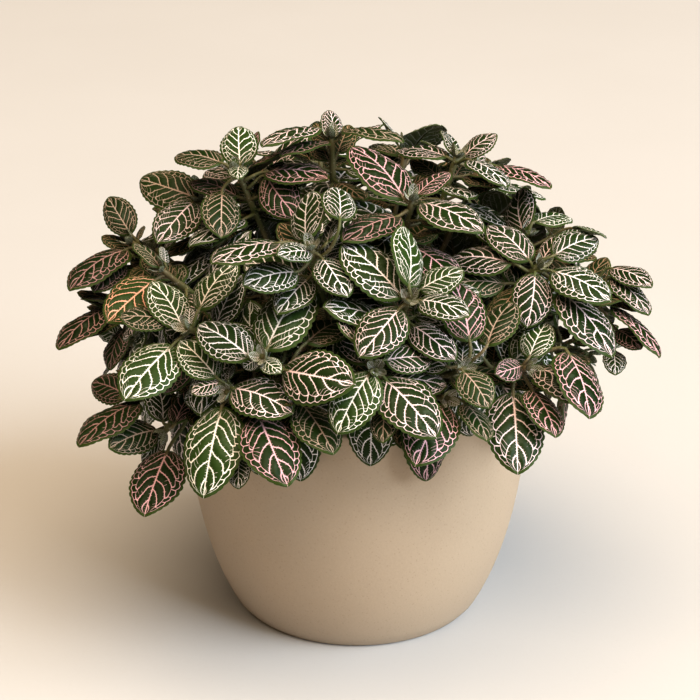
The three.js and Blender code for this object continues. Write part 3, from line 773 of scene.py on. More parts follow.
@dataclass
class BladeMaster:
    """A flat blade in leaf space, modelled once: x runs from margin to margin, y from foot to tip."""

    columns: int
    rows: int
    teeth: int
    # The flat blade
    end_row: float = 0.9999
    end_merge: float = 1e-4
    flat_thick: float = 0.1
    sharp: float = math.radians(50)
    # Its thickness, toothed rim, fold and bend once it is shaped
    usual_length: float = 30.0
    thick: float = 0.38
    small_thick: float = 1.3
    rim_thin: float = 0.5
    notch: float = 0.06
    tooth_power: int = 4
    fold_power: float = 1.7
    sway: float = 0.03
    # The swelling between the veins, the groove over the midrib and the waves along the rim
    quilt: float = 0.55
    quilt_start: float = 1.6
    rim_fade: float = 0.12
    groove: float = 0.5
    groove_reach: float = 1.2
    ruffle: float = 0.55
    ruffles: float = 2.3
    side_shift: float = 1.4
    # How tints and freshness differ from leaf to leaf, and how a short leaf is fresher and its veins wider
    tint_shades: tuple[float, float] = (0.85, 1.1)
    fresh_shifts: tuple[float, float] = (-0.15, 0.2)
    young_length: float = 19.0
    young_span: float = 12.0
    young_fresh: float = 0.6
    young_width: float = 0.4

    def __post_init__(self) -> None:
        """Models the blade: a grid whose end rows close to points, given its thickness."""
        deselect()
        bpy.ops.mesh.primitive_grid_add(x_subdivisions=self.columns, y_subdivisions=self.rows, size=2)
        self.plate = bpy.context.object
        places = coordinates(self.plate.data)
        places[np.abs(places[:, 1]) > self.end_row, 0] = 0
        self.plate.data.vertices.foreach_set("co", places.astype(np.float32).ravel())
        bpy.ops.object.mode_set(mode="EDIT")
        bpy.ops.mesh.select_all(action="SELECT")
        bpy.ops.mesh.remove_doubles(threshold=self.end_merge)
        bpy.ops.object.mode_set(mode="OBJECT")
        wall = self.plate.modifiers.new("thickness", "SOLIDIFY")
        wall.thickness = self.flat_thick
        wall.offset = 0
        bpy.ops.object.modifier_apply(modifier=wall.name)
        bpy.ops.object.shade_smooth_by_angle(angle=self.sharp)
        self.plate.hide_render = True

    def shape(self, leaf: Leaf, name: str) -> bpy.types.Object:
        """Lays a copy over a leaf's own surface, arched along and folded across, with its veins sunk in.

        Args:
            leaf: The leaf.
            name: The copy's name.

        Returns:
            The blade.
        """
        piece = copy_of(self.plate, name)
        side, run, layer = coordinates(piece.data).T
        random = np.random.default_rng(leaf.number + Seed.SHAPE)
        margin = (run + 1) / 2
        share = (1 - np.cos(np.pi * margin)) / 2
        reach = np.abs(side)
        notch = self.notch * np.abs(np.cos(np.pi * self.teeth * margin)) ** self.tooth_power * reach**3
        half = leaf.width / 2 * BLADE.half_width(share) * (1 - notch)
        out = reach * half
        size = leaf.length / self.usual_length
        rise = 4 * leaf.arch * leaf.length * share * (1 - share) - leaf.fold * half * reach**self.fold_power
        inside = np.clip((VEINS.ring - reach) / self.rim_fade, 0, 1)
        pillow = np.sin(np.pi * VEINS.phase(share, side)) ** 2 * inside
        rise += self.quilt * size * pillow * (1 - np.exp(-((out / (self.quilt_start * size)) ** 2)))
        rise -= self.groove * size * np.exp(-((out / (self.groove_reach * size)) ** 2))
        turns = self.ruffles * margin + random.random()
        wave = np.sin(2 * np.pi * turns + self.side_shift * np.sign(side))
        rise += self.ruffle * size * wave * reach**3 * np.sin(np.pi * margin)
        sway = self.sway * leaf.length * np.sin(np.pi * share) * random.uniform(-1, 1)
        thick = self.thick * (1 - self.rim_thin * reach**4) * min(1, size * self.small_thick)
        rise += np.sign(layer) * thick / 2
        places = leaf.foot + leaf.length * share[:, None] * leaf.along
        places += (side * half + sway)[:, None] * leaf.across + rise[:, None] * leaf.face
        write_coordinates(piece.data, places)
        self.colour(piece.data, leaf, layer < 0)
        return piece

    def colour(self, mesh: bpy.types.Mesh, leaf: Leaf, under: Array) -> None:
        """Stores what the leaf finish reads: tint, freshness, seed, vein width and which side is under.

        Args:
            mesh: The blade's mesh.
            leaf: The leaf.
            under: Whether each vertex is on the underside.
        """
        random = np.random.default_rng(leaf.number + Seed.COLOUR)
        red, green, blue, fresh = leaf.tint().value
        count = len(mesh.vertices)
        shade = random.uniform(*self.tint_shades)
        tint = np.array([red * shade, green * shade, blue * shade, 1.0])
        fresh = np.clip(fresh + random.uniform(*self.fresh_shifts), 0, 1)
        young = np.clip((self.young_length - leaf.length) / self.young_span, 0, 1)
        set_values(mesh, "vein_tint", np.tile(tint, (count, 1)))
        set_values(mesh, "leaf_fresh", np.full(count, max(fresh, self.young_fresh * young)))
        set_values(mesh, "leaf_seed", np.full(count, random.random()))
        set_values(mesh, "vein_width", np.full(count, 1 + self.young_width * young))
        set_values(mesh, "leaf_under", under.astype(float))


@dataclass
class Scatter:
    """A small closed shape, modelled once, whose copies are written into one mesh."""

    master: bpy.types.Object

    def spread(self, name: str, frames: Array, places: Array) -> bpy.types.Object:
        """Copies the shape to many places.

        Args:
            name: The new piece's name.
            frames: For each copy, three rows: where the shape's own x, y and z go, with their lengths.
            places: For each copy, where the shape's origin goes.

        Returns:
            The piece that holds all the copies.
        """
        own = coordinates(self.master.data)
        faces = [tuple(face.vertices) for face in self.master.data.polygons]
        corners = (own @ frames + places[:, None, :]).reshape(-1, 3) * MM
        steps = np.arange(len(places)) * len(own)
        mesh = bpy.data.meshes.new(name)
        filled = [tuple(corner + int(step) for corner in face) for step in steps for face in faces]
        mesh.from_pydata(corners.tolist(), [], filled)
        mesh.uv_layers.new(name="UVMap")
        piece = bpy.data.objects.new(name, mesh)
        bpy.context.scene.collection.objects.link(piece)
        return piece


def hair_master() -> bpy.types.Object:
    """Models one hair: a three-sided spike of unit length and thickness, with its foot at the origin.

    Returns:
        The hair.
    """
    deselect()
    bpy.ops.mesh.primitive_cone_add(vertices=3, radius1=0.5, depth=1, location=(0, 0, 0.5))
    hair = bpy.context.object
    bpy.ops.object.transform_apply(location=True, rotation=True, scale=True)
    hair.hide_render = True
    return hair


def join(pieces: list[bpy.types.Object], name: str) -> bpy.types.Object:
    """Joins pieces into the first of them.

    Args:
        pieces: What to join.
        name: The joined piece's name.

    Returns:
        The joined piece.
    """
    activate(pieces[0])
    for piece in pieces:
        piece.select_set(True)
    bpy.ops.object.join()
    joined = bpy.context.object
    joined.name = name
    joined.data.name = name
    return joined


@dataclass
class LeafyStem:
    """One leafy stem: the stem itself, its bud, its leaves on their stalks, and their short hairs."""

    number: int
    spine: Array
    leaves: list[Leaf]
    # The stem, which swells where leaves spring from it
    base_radius: float = 1.3
    top_radius: float = 0.95
    joint_swell: float = 0.3
    joint_reach: float = 2.2
    stem_points: int = 60
    smoothings: int = 6
    # The leaf stalks, and the ribs that they go on as under the blades
    stalk_radius: float = 0.78
    stalk_sizes: tuple[float, float] = (0.45, 1.1)
    stalk_growth: float = 50.0
    stalk_start: float = 0.4
    stalk_pull: float = 0.35
    stalk_points: int = 9
    stalk_taper: tuple[float, float] = (1.15, 0.85)
    rib_shares: tuple[float, float] = (0.08, 0.6)
    rib_depth: float = 0.75
    rib_points: int = 7
    rib_taper: tuple[float, float] = (0.75, 0.3)
    # The bud, whose leaves are by turns longer and more upright, and shorter and more spread
    bud_leaves: int = 4
    bud_points: int = 30
    bud_length: float = 6.2
    bud_lean: tuple[float, float] = (0.42, 0.45)
    bud_shrink: float = 0.22
    bud_aspect: float = 0.66
    bud_out: float = 0.8
    bud_sink: float = 0.6
    bud_arch: float = -0.12
    bud_fold: float = -0.3
    # The hairs
    hairs: int = 300
    fewest_hairs: int = 3
    hair_length: float = 1.3
    hair_lengths: tuple[float, float] = (0.6, 1.2)
    hair_root: float = 0.9
    hair_spread: float = 0.25
    hair_thick: float = 0.09
    hair_reach: float = 30.0
    hairy_stalk: float = 0.6
    last_step: float = 0.01

    def stem_tube(self) -> Tube:
        """Gives the stem's line from its foot to its bud, with a swelling where leaves spring from it.

        Returns:
            The stem.
        """
        middles = self.spine[:-1]
        rough = Tube(middles, np.ones(len(middles)))
        shares = np.linspace(0, 1, self.stem_points)
        line, _ = rough.at(shares)
        for _ in range(self.smoothings):
            line[1:-1] = (line[:-2] + 2 * line[1:-1] + line[2:]) / 4
        radii = self.base_radius + (self.top_radius - self.base_radius) * shares
        for leaf in self.leaves:
            gaps = np.linalg.norm(line - leaf.spring, axis=1)
            radii += self.joint_swell * np.exp(-((gaps / self.joint_reach) ** 2)) / 2
        return Tube(line, radii)

    def stalk_tube(self, leaf: Leaf, stem: Tube) -> Tube:
        """Gives a leaf's stalk, from inside the stem to the blade's foot, and on as the rib under it.

        Args:
            leaf: The leaf.
            stem: Its stem.

        Returns:
            The stalk.
        """
        axis = stem.middles[np.argmin(np.linalg.norm(stem.middles - leaf.spring, axis=1))]
        away = unit(leaf.spring - axis)
        start, end = axis + self.stalk_start * (leaf.spring - axis), leaf.foot
        gap = np.linalg.norm(end - start)
        pulls = [start + self.stalk_pull * gap * away, end - self.stalk_pull * gap * leaf.along]
        stalk = arc([start, *pulls, end], np.linspace(0, 1, self.stalk_points)[:, None])
        share = np.linspace(*self.rib_shares, self.rib_points)[:, None]
        least, most = self.stalk_sizes
        size = min(most, least + leaf.length / self.stalk_growth)
        rise = 4 * leaf.arch * leaf.length * share * (1 - share) - self.rib_depth * size
        rib = leaf.foot + leaf.length * share * leaf.along + rise * leaf.face
        taper = np.concatenate([np.linspace(*self.stalk_taper, self.stalk_points),
                                np.linspace(*self.rib_taper, self.rib_points)])
        return Tube(np.concatenate([stalk, rib]), self.stalk_radius * size * taper)

    def bud(self, stem: Tube) -> list[Leaf]:
        """Makes the young leaves that close over the stem's tip.

        Args:
            stem: The stem.

        Returns:
            The young leaves.
        """
        middles, _, firsts, seconds = stem.frames(np.linspace(0, 1, self.bud_points))
        tip, axis = middles[-1], unit(middles[-1] - middles[-3])
        made = []
        for index in range(self.bud_leaves):
            turn = 2 * math.pi * index / self.bud_leaves + self.number
            out = math.cos(turn) * firsts[-1] + math.sin(turn) * seconds[-1]
            lean = self.bud_lean[0] + self.bud_lean[1] * (index % 2)
            length = self.bud_length * (1 - self.bud_shrink * (index % 2))
            foot = tip + self.bud_out * out - self.bud_sink * axis
            along = unit(axis + lean * out)
            face = unit(axis * lean - out)
            made.append(Leaf(LeafKind.SMALL, tip, foot, foot + length * along, face,
                             self.bud_aspect * length,
                             NUMBERS_EACH * self.number + FIRST_YOUNG + index,
                             arch=self.bud_arch, fold=self.bud_fold))
        return made

    def hair_piece(self, tubes: list[Tube], hair: Scatter) -> bpy.types.Object:
        """Grows short hairs out of the stem and the stalks, near the shoot's tip.

        Args:
            tubes: The stem and its stalks.
            hair: The hair to copy.

        Returns:
            The hairs.
        """
        random = np.random.default_rng(self.number + Seed.HAIRS)
        places, ways = [], []
        lengths = np.array([min(tube.runs[-1], self.hair_reach) for tube in tubes])
        counts = np.maximum(self.fewest_hairs, self.hairs * lengths / lengths.sum()).astype(int)
        for tube, count in zip(tubes, counts):
            low, high = 0.0, self.hairy_stalk
            if tube is tubes[0]:
                low, high = max(0.0, 1 - self.hair_reach / tube.runs[-1]), 1
            shares = np.sort(random.uniform(low, high, count))
            shares = np.append(shares, shares[-1] + self.last_step)
            middles, radii, firsts, seconds = tube.frames(shares)
            turns = random.uniform(0, 2 * math.pi, count)[:, None]
            out = np.cos(turns) * firsts[:-1] + np.sin(turns) * seconds[:-1]
            places.append(middles[:-1] + out * radii[:-1, None] * self.hair_root)
            ways.append(out + random.normal(0, self.hair_spread, out.shape))
        places, ways = np.concatenate(places), units(np.concatenate(ways))
        sides = units(np.cross(ways, OFF_HAIR))
        others = np.cross(ways, sides)
        long = self.hair_length * random.uniform(*self.hair_lengths, len(ways))[:, None]
        frames = np.stack([sides * self.hair_thick, others * self.hair_thick, ways * long], axis=1)
        return hair.spread(f"hair_{self.number:02d}", frames, places)

    def build(self, kit: "StemKit") -> bpy.types.Object:
        """Builds the whole leafy stem as one piece.

        Args:
            kit: The masters and finishes that every stem shares.

        Returns:
            The piece.
        """
        stem = self.stem_tube()
        stalks = [self.stalk_tube(leaf, stem) for leaf in self.leaves]
        green = [kit.stem_master.bend(stem, "stem")]
        green += [kit.stalk_master.bend(stalk, "stalk") for stalk in stalks]
        grown = [kit.blade_for(leaf).shape(leaf, "blade") for leaf in self.leaves]
        young = [kit.young_blade.shape(leaf, "young_blade") for leaf in self.bud(stem)]
        hairs = [self.hair_piece([stem, *stalks], kit.hair)]
        dressed = ((grown, kit.grown_finish), (young, kit.young_finish), (green, kit.stem_finish),
                   (hairs, kit.hair_finish))
        for pieces, finish in dressed:
            for piece in pieces:
                piece.data.materials.append(finish)
        return join([*grown, *young, *green, *hairs], f"foliage_{self.number:02d}")


@dataclass
class Infill:
    """Small leaves along the stems inside the plant, where bare stems or the floor would show."""

    leaves_each: int = 7
    tries: int = 70
    # Where a leaf springs from its stem, and its form
    below_tip: float = 8.0
    lowest_share: float = 0.25
    highest_least: float = 0.1
    stem_side: float = 1.2
    slopes: tuple[float, float] = (-0.5, 0.6)
    tilt: float = 0.15
    lengths: tuple[float, float] = (13.0, 21.0)
    stalks: tuple[float, float] = (2.5, 6.0)
    aspect: float = 0.68
    arch: float = 0.06
    # The room that it needs, the more so where it hides no hole, and what room is worth against hidden cells
    lowest: float = 104.0
    least_gap: float = 3.6
    hole_gap: float = 2.0
    near_reach: float = 40.0
    gap_worth: float = 0.1
    # How far behind the leaves of the picture it stays, where they lie this near in pixels
    nearby_pixels: float = 17.0
    hidden_depth: float = 4.0
    middle_samples: tuple[int, int] = (2, 6)
    # The cells of a view, in pixels, and what makes one a hole
    cell: int = 4
    hole_reach: int = 8
    least_sides: int = 3

    def candidate(self, stem: LeafyStem, random: np.random.Generator, number: int) -> Leaf:
        """Draws a leaf that springs from somewhere along a stem.

        Args:
            stem: The stem.
            random: The generator that the draws come from.
            number: The new leaf's number.

        Returns:
            The leaf.
        """
        line = Tube(stem.spine[:-1], np.ones(len(stem.spine) - 1))
        far = max(self.highest_least, 1 - self.below_tip / line.runs[-1])
        spot, _ = line.at(np.array([random.uniform(self.lowest_share, far)]))
        turn = random.uniform(0, 2 * math.pi)
        out = np.array([math.cos(turn), math.sin(turn), 0.0])
        along = unit(out + np.array([0, 0, random.uniform(*self.slopes)]))
        face = unit(np.array([0, 0, 1.0]) - along * along[2] + random.normal(0, self.tilt, 3))
        face = unit(face - along * (face @ along))
        length = random.uniform(*self.lengths)
        spring = spot[0] + self.stem_side * out
        foot = spring + random.uniform(*self.stalks) * along
        return Leaf(LeafKind.PLAIN, spring, foot, foot + length * along, face, self.aspect * length,
                    number, arch=self.arch, inner=True)

    def cells(self, spots: Array, view: View) -> tuple[Array, Array]:
        """Finds the cells of a view that a leaf's spots lie in, as rows and columns."""
        across, down = (view.pixel(spots) / self.cell).astype(int).T
        return down, across

    def hidden(self, leaf: Leaf, holes: dict[View, Array]) -> int:
        """Counts the cells of all the views whose holes a leaf would hide.

        Args:
            leaf: The leaf.
            holes: For each view, whether each cell is a hole.

        Returns:
            Their number.
        """
        total, spots = 0, leaf.mesh_of_spots()
        for view, bare in holes.items():
            rows, columns = self.cells(spots, view)
            filled = bare[rows, columns]
            total += len(set(zip(rows[filled].tolist(), columns[filled].tolist())))
        return total

    def holes(self, covered: Array) -> Array:
        """Marks the cells that no leaf covers though leaves lie on most sides of them.

        Args:
            covered: Whether a leaf covers each cell.

        Returns:
            Whether each cell is a hole.
        """
        sides = np.zeros(covered.shape, int)
        for axis in (0, 1):
            for way in (-1, 1):
                steps = [np.roll(covered, way * step, axis) for step in range(1, self.hole_reach)]
                sides += np.any(steps, axis=0)
        return ~covered & (sides >= self.least_sides)

    def fits(self, leaf: Leaf, pixels: Array, depths: Array) -> bool:
        """Tells whether a leaf lies behind the leaves that the picture shows there, and above the soil.

        Args:
            leaf: The leaf.
            pixels: Where the leaves so far show in the picture.
            depths: How far from the eye they are.

        Returns:
            Whether it may stay.
        """
        places = leaf.samples()
        if places[:, 2].min() < self.lowest:
            return False
        steps = VIEW.pixel(places)[:, None] - pixels[None]
        near = np.hypot(steps[..., 0], steps[..., 1]) < self.nearby_pixels
        foremost = np.where(near, depths[None], np.inf).min(axis=1)
        behind = foremost < VIEW.depth(places) - self.hidden_depth
        first, last = self.middle_samples
        return bool(np.all(behind | ~near.any(axis=1)) and near[first:last].any(axis=1).all())

    def grow(self, stems: list[LeafyStem]) -> None:
        """Adds leaves to the stems, each where it hides the most holes, or else where it has the most room.

        Args:
            stems: The leafy stems.
        """
        cloud = np.concatenate([leaf.samples() for stem in stems for leaf in stem.leaves])
        pixels, depths = VIEW.pixel(cloud), VIEW.depth(cloud)
        side = int(VIEW.width_pixels) // self.cell
        holes = {}
        for view in (VIEW, *OTHER_VIEWS):
            covered = np.zeros((side, side), bool)
            for leaf in (leaf for stem in stems for leaf in stem.leaves):
                covered[self.cells(leaf.mesh_of_spots(), view)] = True
            holes[view] = self.holes(covered)
        for stem in stems:
            random = np.random.default_rng(stem.number + Seed.INFILL)
            for index in range(self.leaves_each):
                number = NUMBERS_EACH * stem.number + FIRST_INNER + index
                best, most = None, 0.0
                for _ in range(self.tries):
                    leaf = self.candidate(stem, random, number)
                    near = cloud[np.abs(cloud - leaf.spring).max(axis=1) < self.near_reach]
                    gaps = np.linalg.norm(near[:, None] - leaf.samples()[None, 1:], axis=2)
                    gap = gaps.min(initial=self.near_reach)
                    if gap <= self.hole_gap:
                        continue
                    hidden = self.hidden(leaf, holes)
                    worth = hidden + self.gap_worth * gap
                    roomy = hidden > 0 or gap > self.least_gap
                    if roomy and worth > most and self.fits(leaf, pixels, depths):
                        best, most = leaf, worth
                if best is not None:
                    stem.leaves.append(best)
                    cloud = np.concatenate([cloud, best.samples()])
                    for view, bare in holes.items():
                        bare[self.cells(best.mesh_of_spots(), view)] = False


class StemKit:
    """The masters and the finishes that all the leafy stems share."""

    def __init__(self, grown_finish: bpy.types.Material, young_finish: bpy.types.Material,
                 stem_finish: bpy.types.Material, hair_finish: bpy.types.Material) -> None:
        """Models each master once.

        Args:
            grown_finish: The grown blades' material.
            young_finish: The bud's material.
            stem_finish: The material of the stems and stalks.
            hair_finish: The hairs' material.
        """
        self.grown_finish, self.young_finish = grown_finish, young_finish
        self.stem_finish, self.hair_finish = stem_finish, hair_finish
        self.seen_blade = BladeMaster(columns=12, rows=48, teeth=16)
        self.plain_blade = BladeMaster(columns=8, rows=30, teeth=15)
        self.inner_blade = BladeMaster(columns=6, rows=18, teeth=9)
        self.young_blade = BladeMaster(columns=6, rows=14, teeth=7)
        self.stem_master = TubeMaster(sides=8, rings=28)
        self.stalk_master = TubeMaster(sides=6, rings=15)
        self.hair = Scatter(hair_master())

    def blade_for(self, leaf: Leaf) -> BladeMaster:
        """Picks the blade that a leaf is made from: the finest for a leaf that shows in front.

        Args:
            leaf: The leaf.

        Returns:
            The blade.
        """
        if leaf.inner:
            return self.inner_blade
        if leaf.kind is LeafKind.SMALL:
            return self.young_blade
        return self.seen_blade if leaf.kind is LeafKind.STALKED else self.plain_blade

    def clear(self) -> None:
        """Removes the masters once the last copy is made."""
        masters = [self.seen_blade, self.plain_blade, self.inner_blade, self.young_blade]
        masters += [self.stem_master, self.stalk_master]
        for piece in [*(master.plate for master in masters), self.hair.master]:
            bpy.data.objects.remove(piece)


@dataclass
class Pot:
    """The round pot: a thin wall that swells from the base to an upright rim, with its floor inside."""

    # The radii of the rim and the base, and how the wall swells between them, as radii and heights
    rim: float = 69.7
    base: float = 50.0
    height: float = 103.0
    swell: tuple[tuple[float, float], ...] = ((63.7, 23.6), (69.7, 58.7))
    wall: float = 5.0
    floor: float = 7.0
    # The rounding of the foot and the lip, and the corner between the wall and the floor inside
    edge: float = 1.6
    lip: float = 1.9
    foot_clear: float = 1.3
    foot_turn: float = math.pi / 2.4
    foot_steps: int = 5
    lip_steps: int = 11
    inner_margin: float = 4.0
    inner_corner: tuple[tuple[float, float], ...] = ((1.5, 1.0), (4.0, 0.0))
    sharp: float = math.radians(40)
    sides: int = 128
    steps: int = 26

    def profile(self) -> list[tuple[float, float]]:
        """Traces the wall from the base, up the outside, over the lip and down to the inner floor.

        Returns:
            The radius and the height of each of its rings.
        """
        ends = [(self.base, 0.0), *self.swell, (self.rim, self.height)]
        outside = [arc(ends, share) for share in np.linspace(0, 1, self.steps)]
        outside = [(r, z) for r, z in outside if self.edge * self.foot_clear < z < self.height - self.lip]
        round_foot = [(self.base - self.edge * (1 - math.sin(a)), self.edge * (1 - math.cos(a)))
                      for a in np.linspace(0, self.foot_turn, self.foot_steps)]
        middle = self.rim - self.wall / 2
        half = self.wall / 2
        over = [(middle + half * math.cos(a), self.height - self.lip + self.lip * math.sin(a))
                for a in np.linspace(0, math.pi, self.lip_steps)]
        inside = [(r - self.wall, z) for r, z in reversed(outside)
                  if self.floor + self.inner_margin < z < self.height - self.inner_margin]
        corner = [(inside[-1][0] - inward, self.floor + up) for inward, up in self.inner_corner]
        return [*round_foot, *outside, *over, *inside, *corner]

    def build(self, finish: bpy.types.Material) -> bpy.types.Object:
        """Models the pot from a disc, extruded and resized ring by ring up and over its wall.

        Args:
            finish: The pot's material.

        Returns:
            The pot.
        """
        rings = self.profile()
        radius, height = rings[0]
        deselect()
        bpy.ops.mesh.primitive_circle_add(vertices=self.sides, radius=radius * MM, fill_type="NGON",
                                          location=(0, 0, height * MM))
        pot = bpy.context.object
        bpy.ops.object.transform_apply(location=True, rotation=True, scale=True)
        bpy.ops.object.mode_set(mode="EDIT")
        for next_radius, next_height in rings[1:]:
            grow = next_radius / radius
            bpy.ops.mesh.extrude_region_move(
                TRANSFORM_OT_translate={"value": (0, 0, (next_height - height) * MM)})
            bpy.ops.transform.resize(value=(grow, grow, 1))
            radius, height = next_radius, next_height
        bpy.ops.mesh.select_all(action="SELECT")
        bpy.ops.mesh.normals_make_consistent(inside=False)
        bpy.ops.object.mode_set(mode="OBJECT")
        bpy.ops.object.shade_smooth_by_angle(angle=self.sharp)
        pot.name = "pot_body"
        pot.data.materials.append(finish)
        return pot


@dataclass
class Soil:
    """The potting soil: a low crumbly crown that fills the pot, with loose crumbs on it."""

    radius: float = 64.2
    top: float = 92.0
    crown: float = 4.0
    low: float = 7.3
    low_radius: float = 46.0
    sides: int = 72
    rings: int = 18
    # Its lumps
    roughness: float = 1.5
    lump_scale: float = 0.11
    lump_slice: float = 3.7
    lump_layers: tuple[float, float, int] = (1.0, 2.1, 4)
    # What counts as its top, and which edges stay sharp
    facing_up: float = 0.9
    top_slack: float = 0.01
    sharp: float = math.radians(50)
    # The loose crumbs
    crumbs: int = 700
    crumb: float = 1.3
    crumb_sizes: tuple[float, float] = (0.35, 1.0)
    crumb_margin: float = 2.0
    crumb_seed: int = 11

    def lift(self, places: Array) -> Array:
        """Gives the soil's height over places in the pot.

        Args:
            places: Rows whose first two numbers are x and y.

        Returns:
            The heights.
        """
        out = np.hypot(places[:, 0], places[:, 1]) / self.radius
        spots = [Vector((x, y, self.lump_slice)) for x, y in places[:, :2] * self.lump_scale]
        rough = [noise.fractal(spot, *self.lump_layers) for spot in spots]
        return self.top + self.crown * (1 - np.minimum(out, 1) ** 2) + self.roughness * np.array(rough)

    def build(self, finish: bpy.types.Material) -> bpy.types.Object:
        """Models the soil: a disc inset ring by ring and roughened, its side and underside, and the crumbs.

        Args:
            finish: The soil's material.

        Returns:
            The soil.
        """
        deselect()
        bpy.ops.mesh.primitive_cone_add(vertices=self.sides, radius1=self.low_radius, radius2=self.radius,
                                        depth=self.top - self.low,
                                        location=(0, 0, (self.top + self.low) / 2))
        body = bpy.context.object
        bpy.ops.object.transform_apply(location=True, rotation=True, scale=True)
        bpy.ops.object.mode_set(mode="EDIT")
        bpy.ops.mesh.select_mode(type="FACE")
        bpy.ops.mesh.select_all(action="DESELECT")
        bpy.ops.object.mode_set(mode="OBJECT")
        for face in body.data.polygons:
            face.select = face.normal.z > self.facing_up
        bpy.ops.object.mode_set(mode="EDIT")
        for _ in range(self.rings):
            bpy.ops.mesh.inset(thickness=self.radius / (self.rings + 1))
        bpy.ops.object.mode_set(mode="OBJECT")
        places = coordinates(body.data)
        on_top = places[:, 2] > self.top - self.top_slack
        places[on_top, 2] = self.lift(places[on_top])
        write_coordinates(body.data, places)
        bpy.ops.object.shade_smooth_by_angle(angle=self.sharp)
        soil = join([body, self.crumb_piece()], "soil_fill")
        soil.data.materials.clear()
        soil.data.materials.append(finish)
        return soil

    def crumb_piece(self) -> bpy.types.Object:
        """Scatters crumbs over the soil, each a squashed ball of few faces.

        Returns:
            The crumbs, as one piece.
        """
        random = np.random.default_rng(self.crumb_seed)
        deselect()
        bpy.ops.mesh.primitive_ico_sphere_add(subdivisions=1, radius=1)
        ball = bpy.context.object
        out = (self.radius - self.crumb_margin) * np.sqrt(random.random(self.crumbs))
        turn = random.uniform(0, 2 * math.pi, self.crumbs)
        places = np.stack([out * np.cos(turn), out * np.sin(turn), np.zeros(self.crumbs)], axis=1)
        places[:, 2] = self.lift(places)
        frames = random.normal(0, 1, (self.crumbs, 3, 3))
        frames = np.linalg.qr(frames)[0] * self.crumb * random.uniform(*self.crumb_sizes, (self.crumbs, 3, 1))
        frames *= np.sign(np.linalg.det(frames))[:, None, None]
        crumbs = Scatter(ball).spread("crumbs", frames, places)
        bpy.data.objects.remove(ball)
        return crumbs


@dataclass(frozen=True)
class Wire:
    """A value on its way through a node tree, which adds, multiplies and so on as a number does."""

    graph: "Graph"
    socket: bpy.types.NodeSocket

    def __add__(self, other: "Wire | float") -> "Wire":
        """Adds a value."""
        return self.graph.math("ADD", self, other)

    def __sub__(self, other: "Wire | float") -> "Wire":
        """Takes a value away."""
        return self.graph.math("SUBTRACT", self, other)

    def __rsub__(self, other: float) -> "Wire":
        """Is taken away from a number."""
        return self.graph.math("SUBTRACT", other, self)

    def __mul__(self, other: "Wire | float") -> "Wire":
        """Multiplies by a value."""
        return self.graph.math("MULTIPLY", self, other)

    def __truediv__(self, other: "Wire | float") -> "Wire":
        """Divides by a value."""
        return self.graph.math("DIVIDE", self, other)

    def __pow__(self, power: float) -> "Wire":
        """Raises to a power."""
        return self.graph.math("POWER", self, power)

    def __abs__(self) -> "Wire":
        """Drops the sign."""
        return self.graph.math("ABSOLUTE", self)

    def fraction(self) -> "Wire":
        """Keeps what follows the whole number."""
        return self.graph.math("FRACT", self)

    def apart(self) -> "Wire":
        """Gives the distance from the nearest whole number."""
        return abs((self + 0.5).fraction() - 0.5)


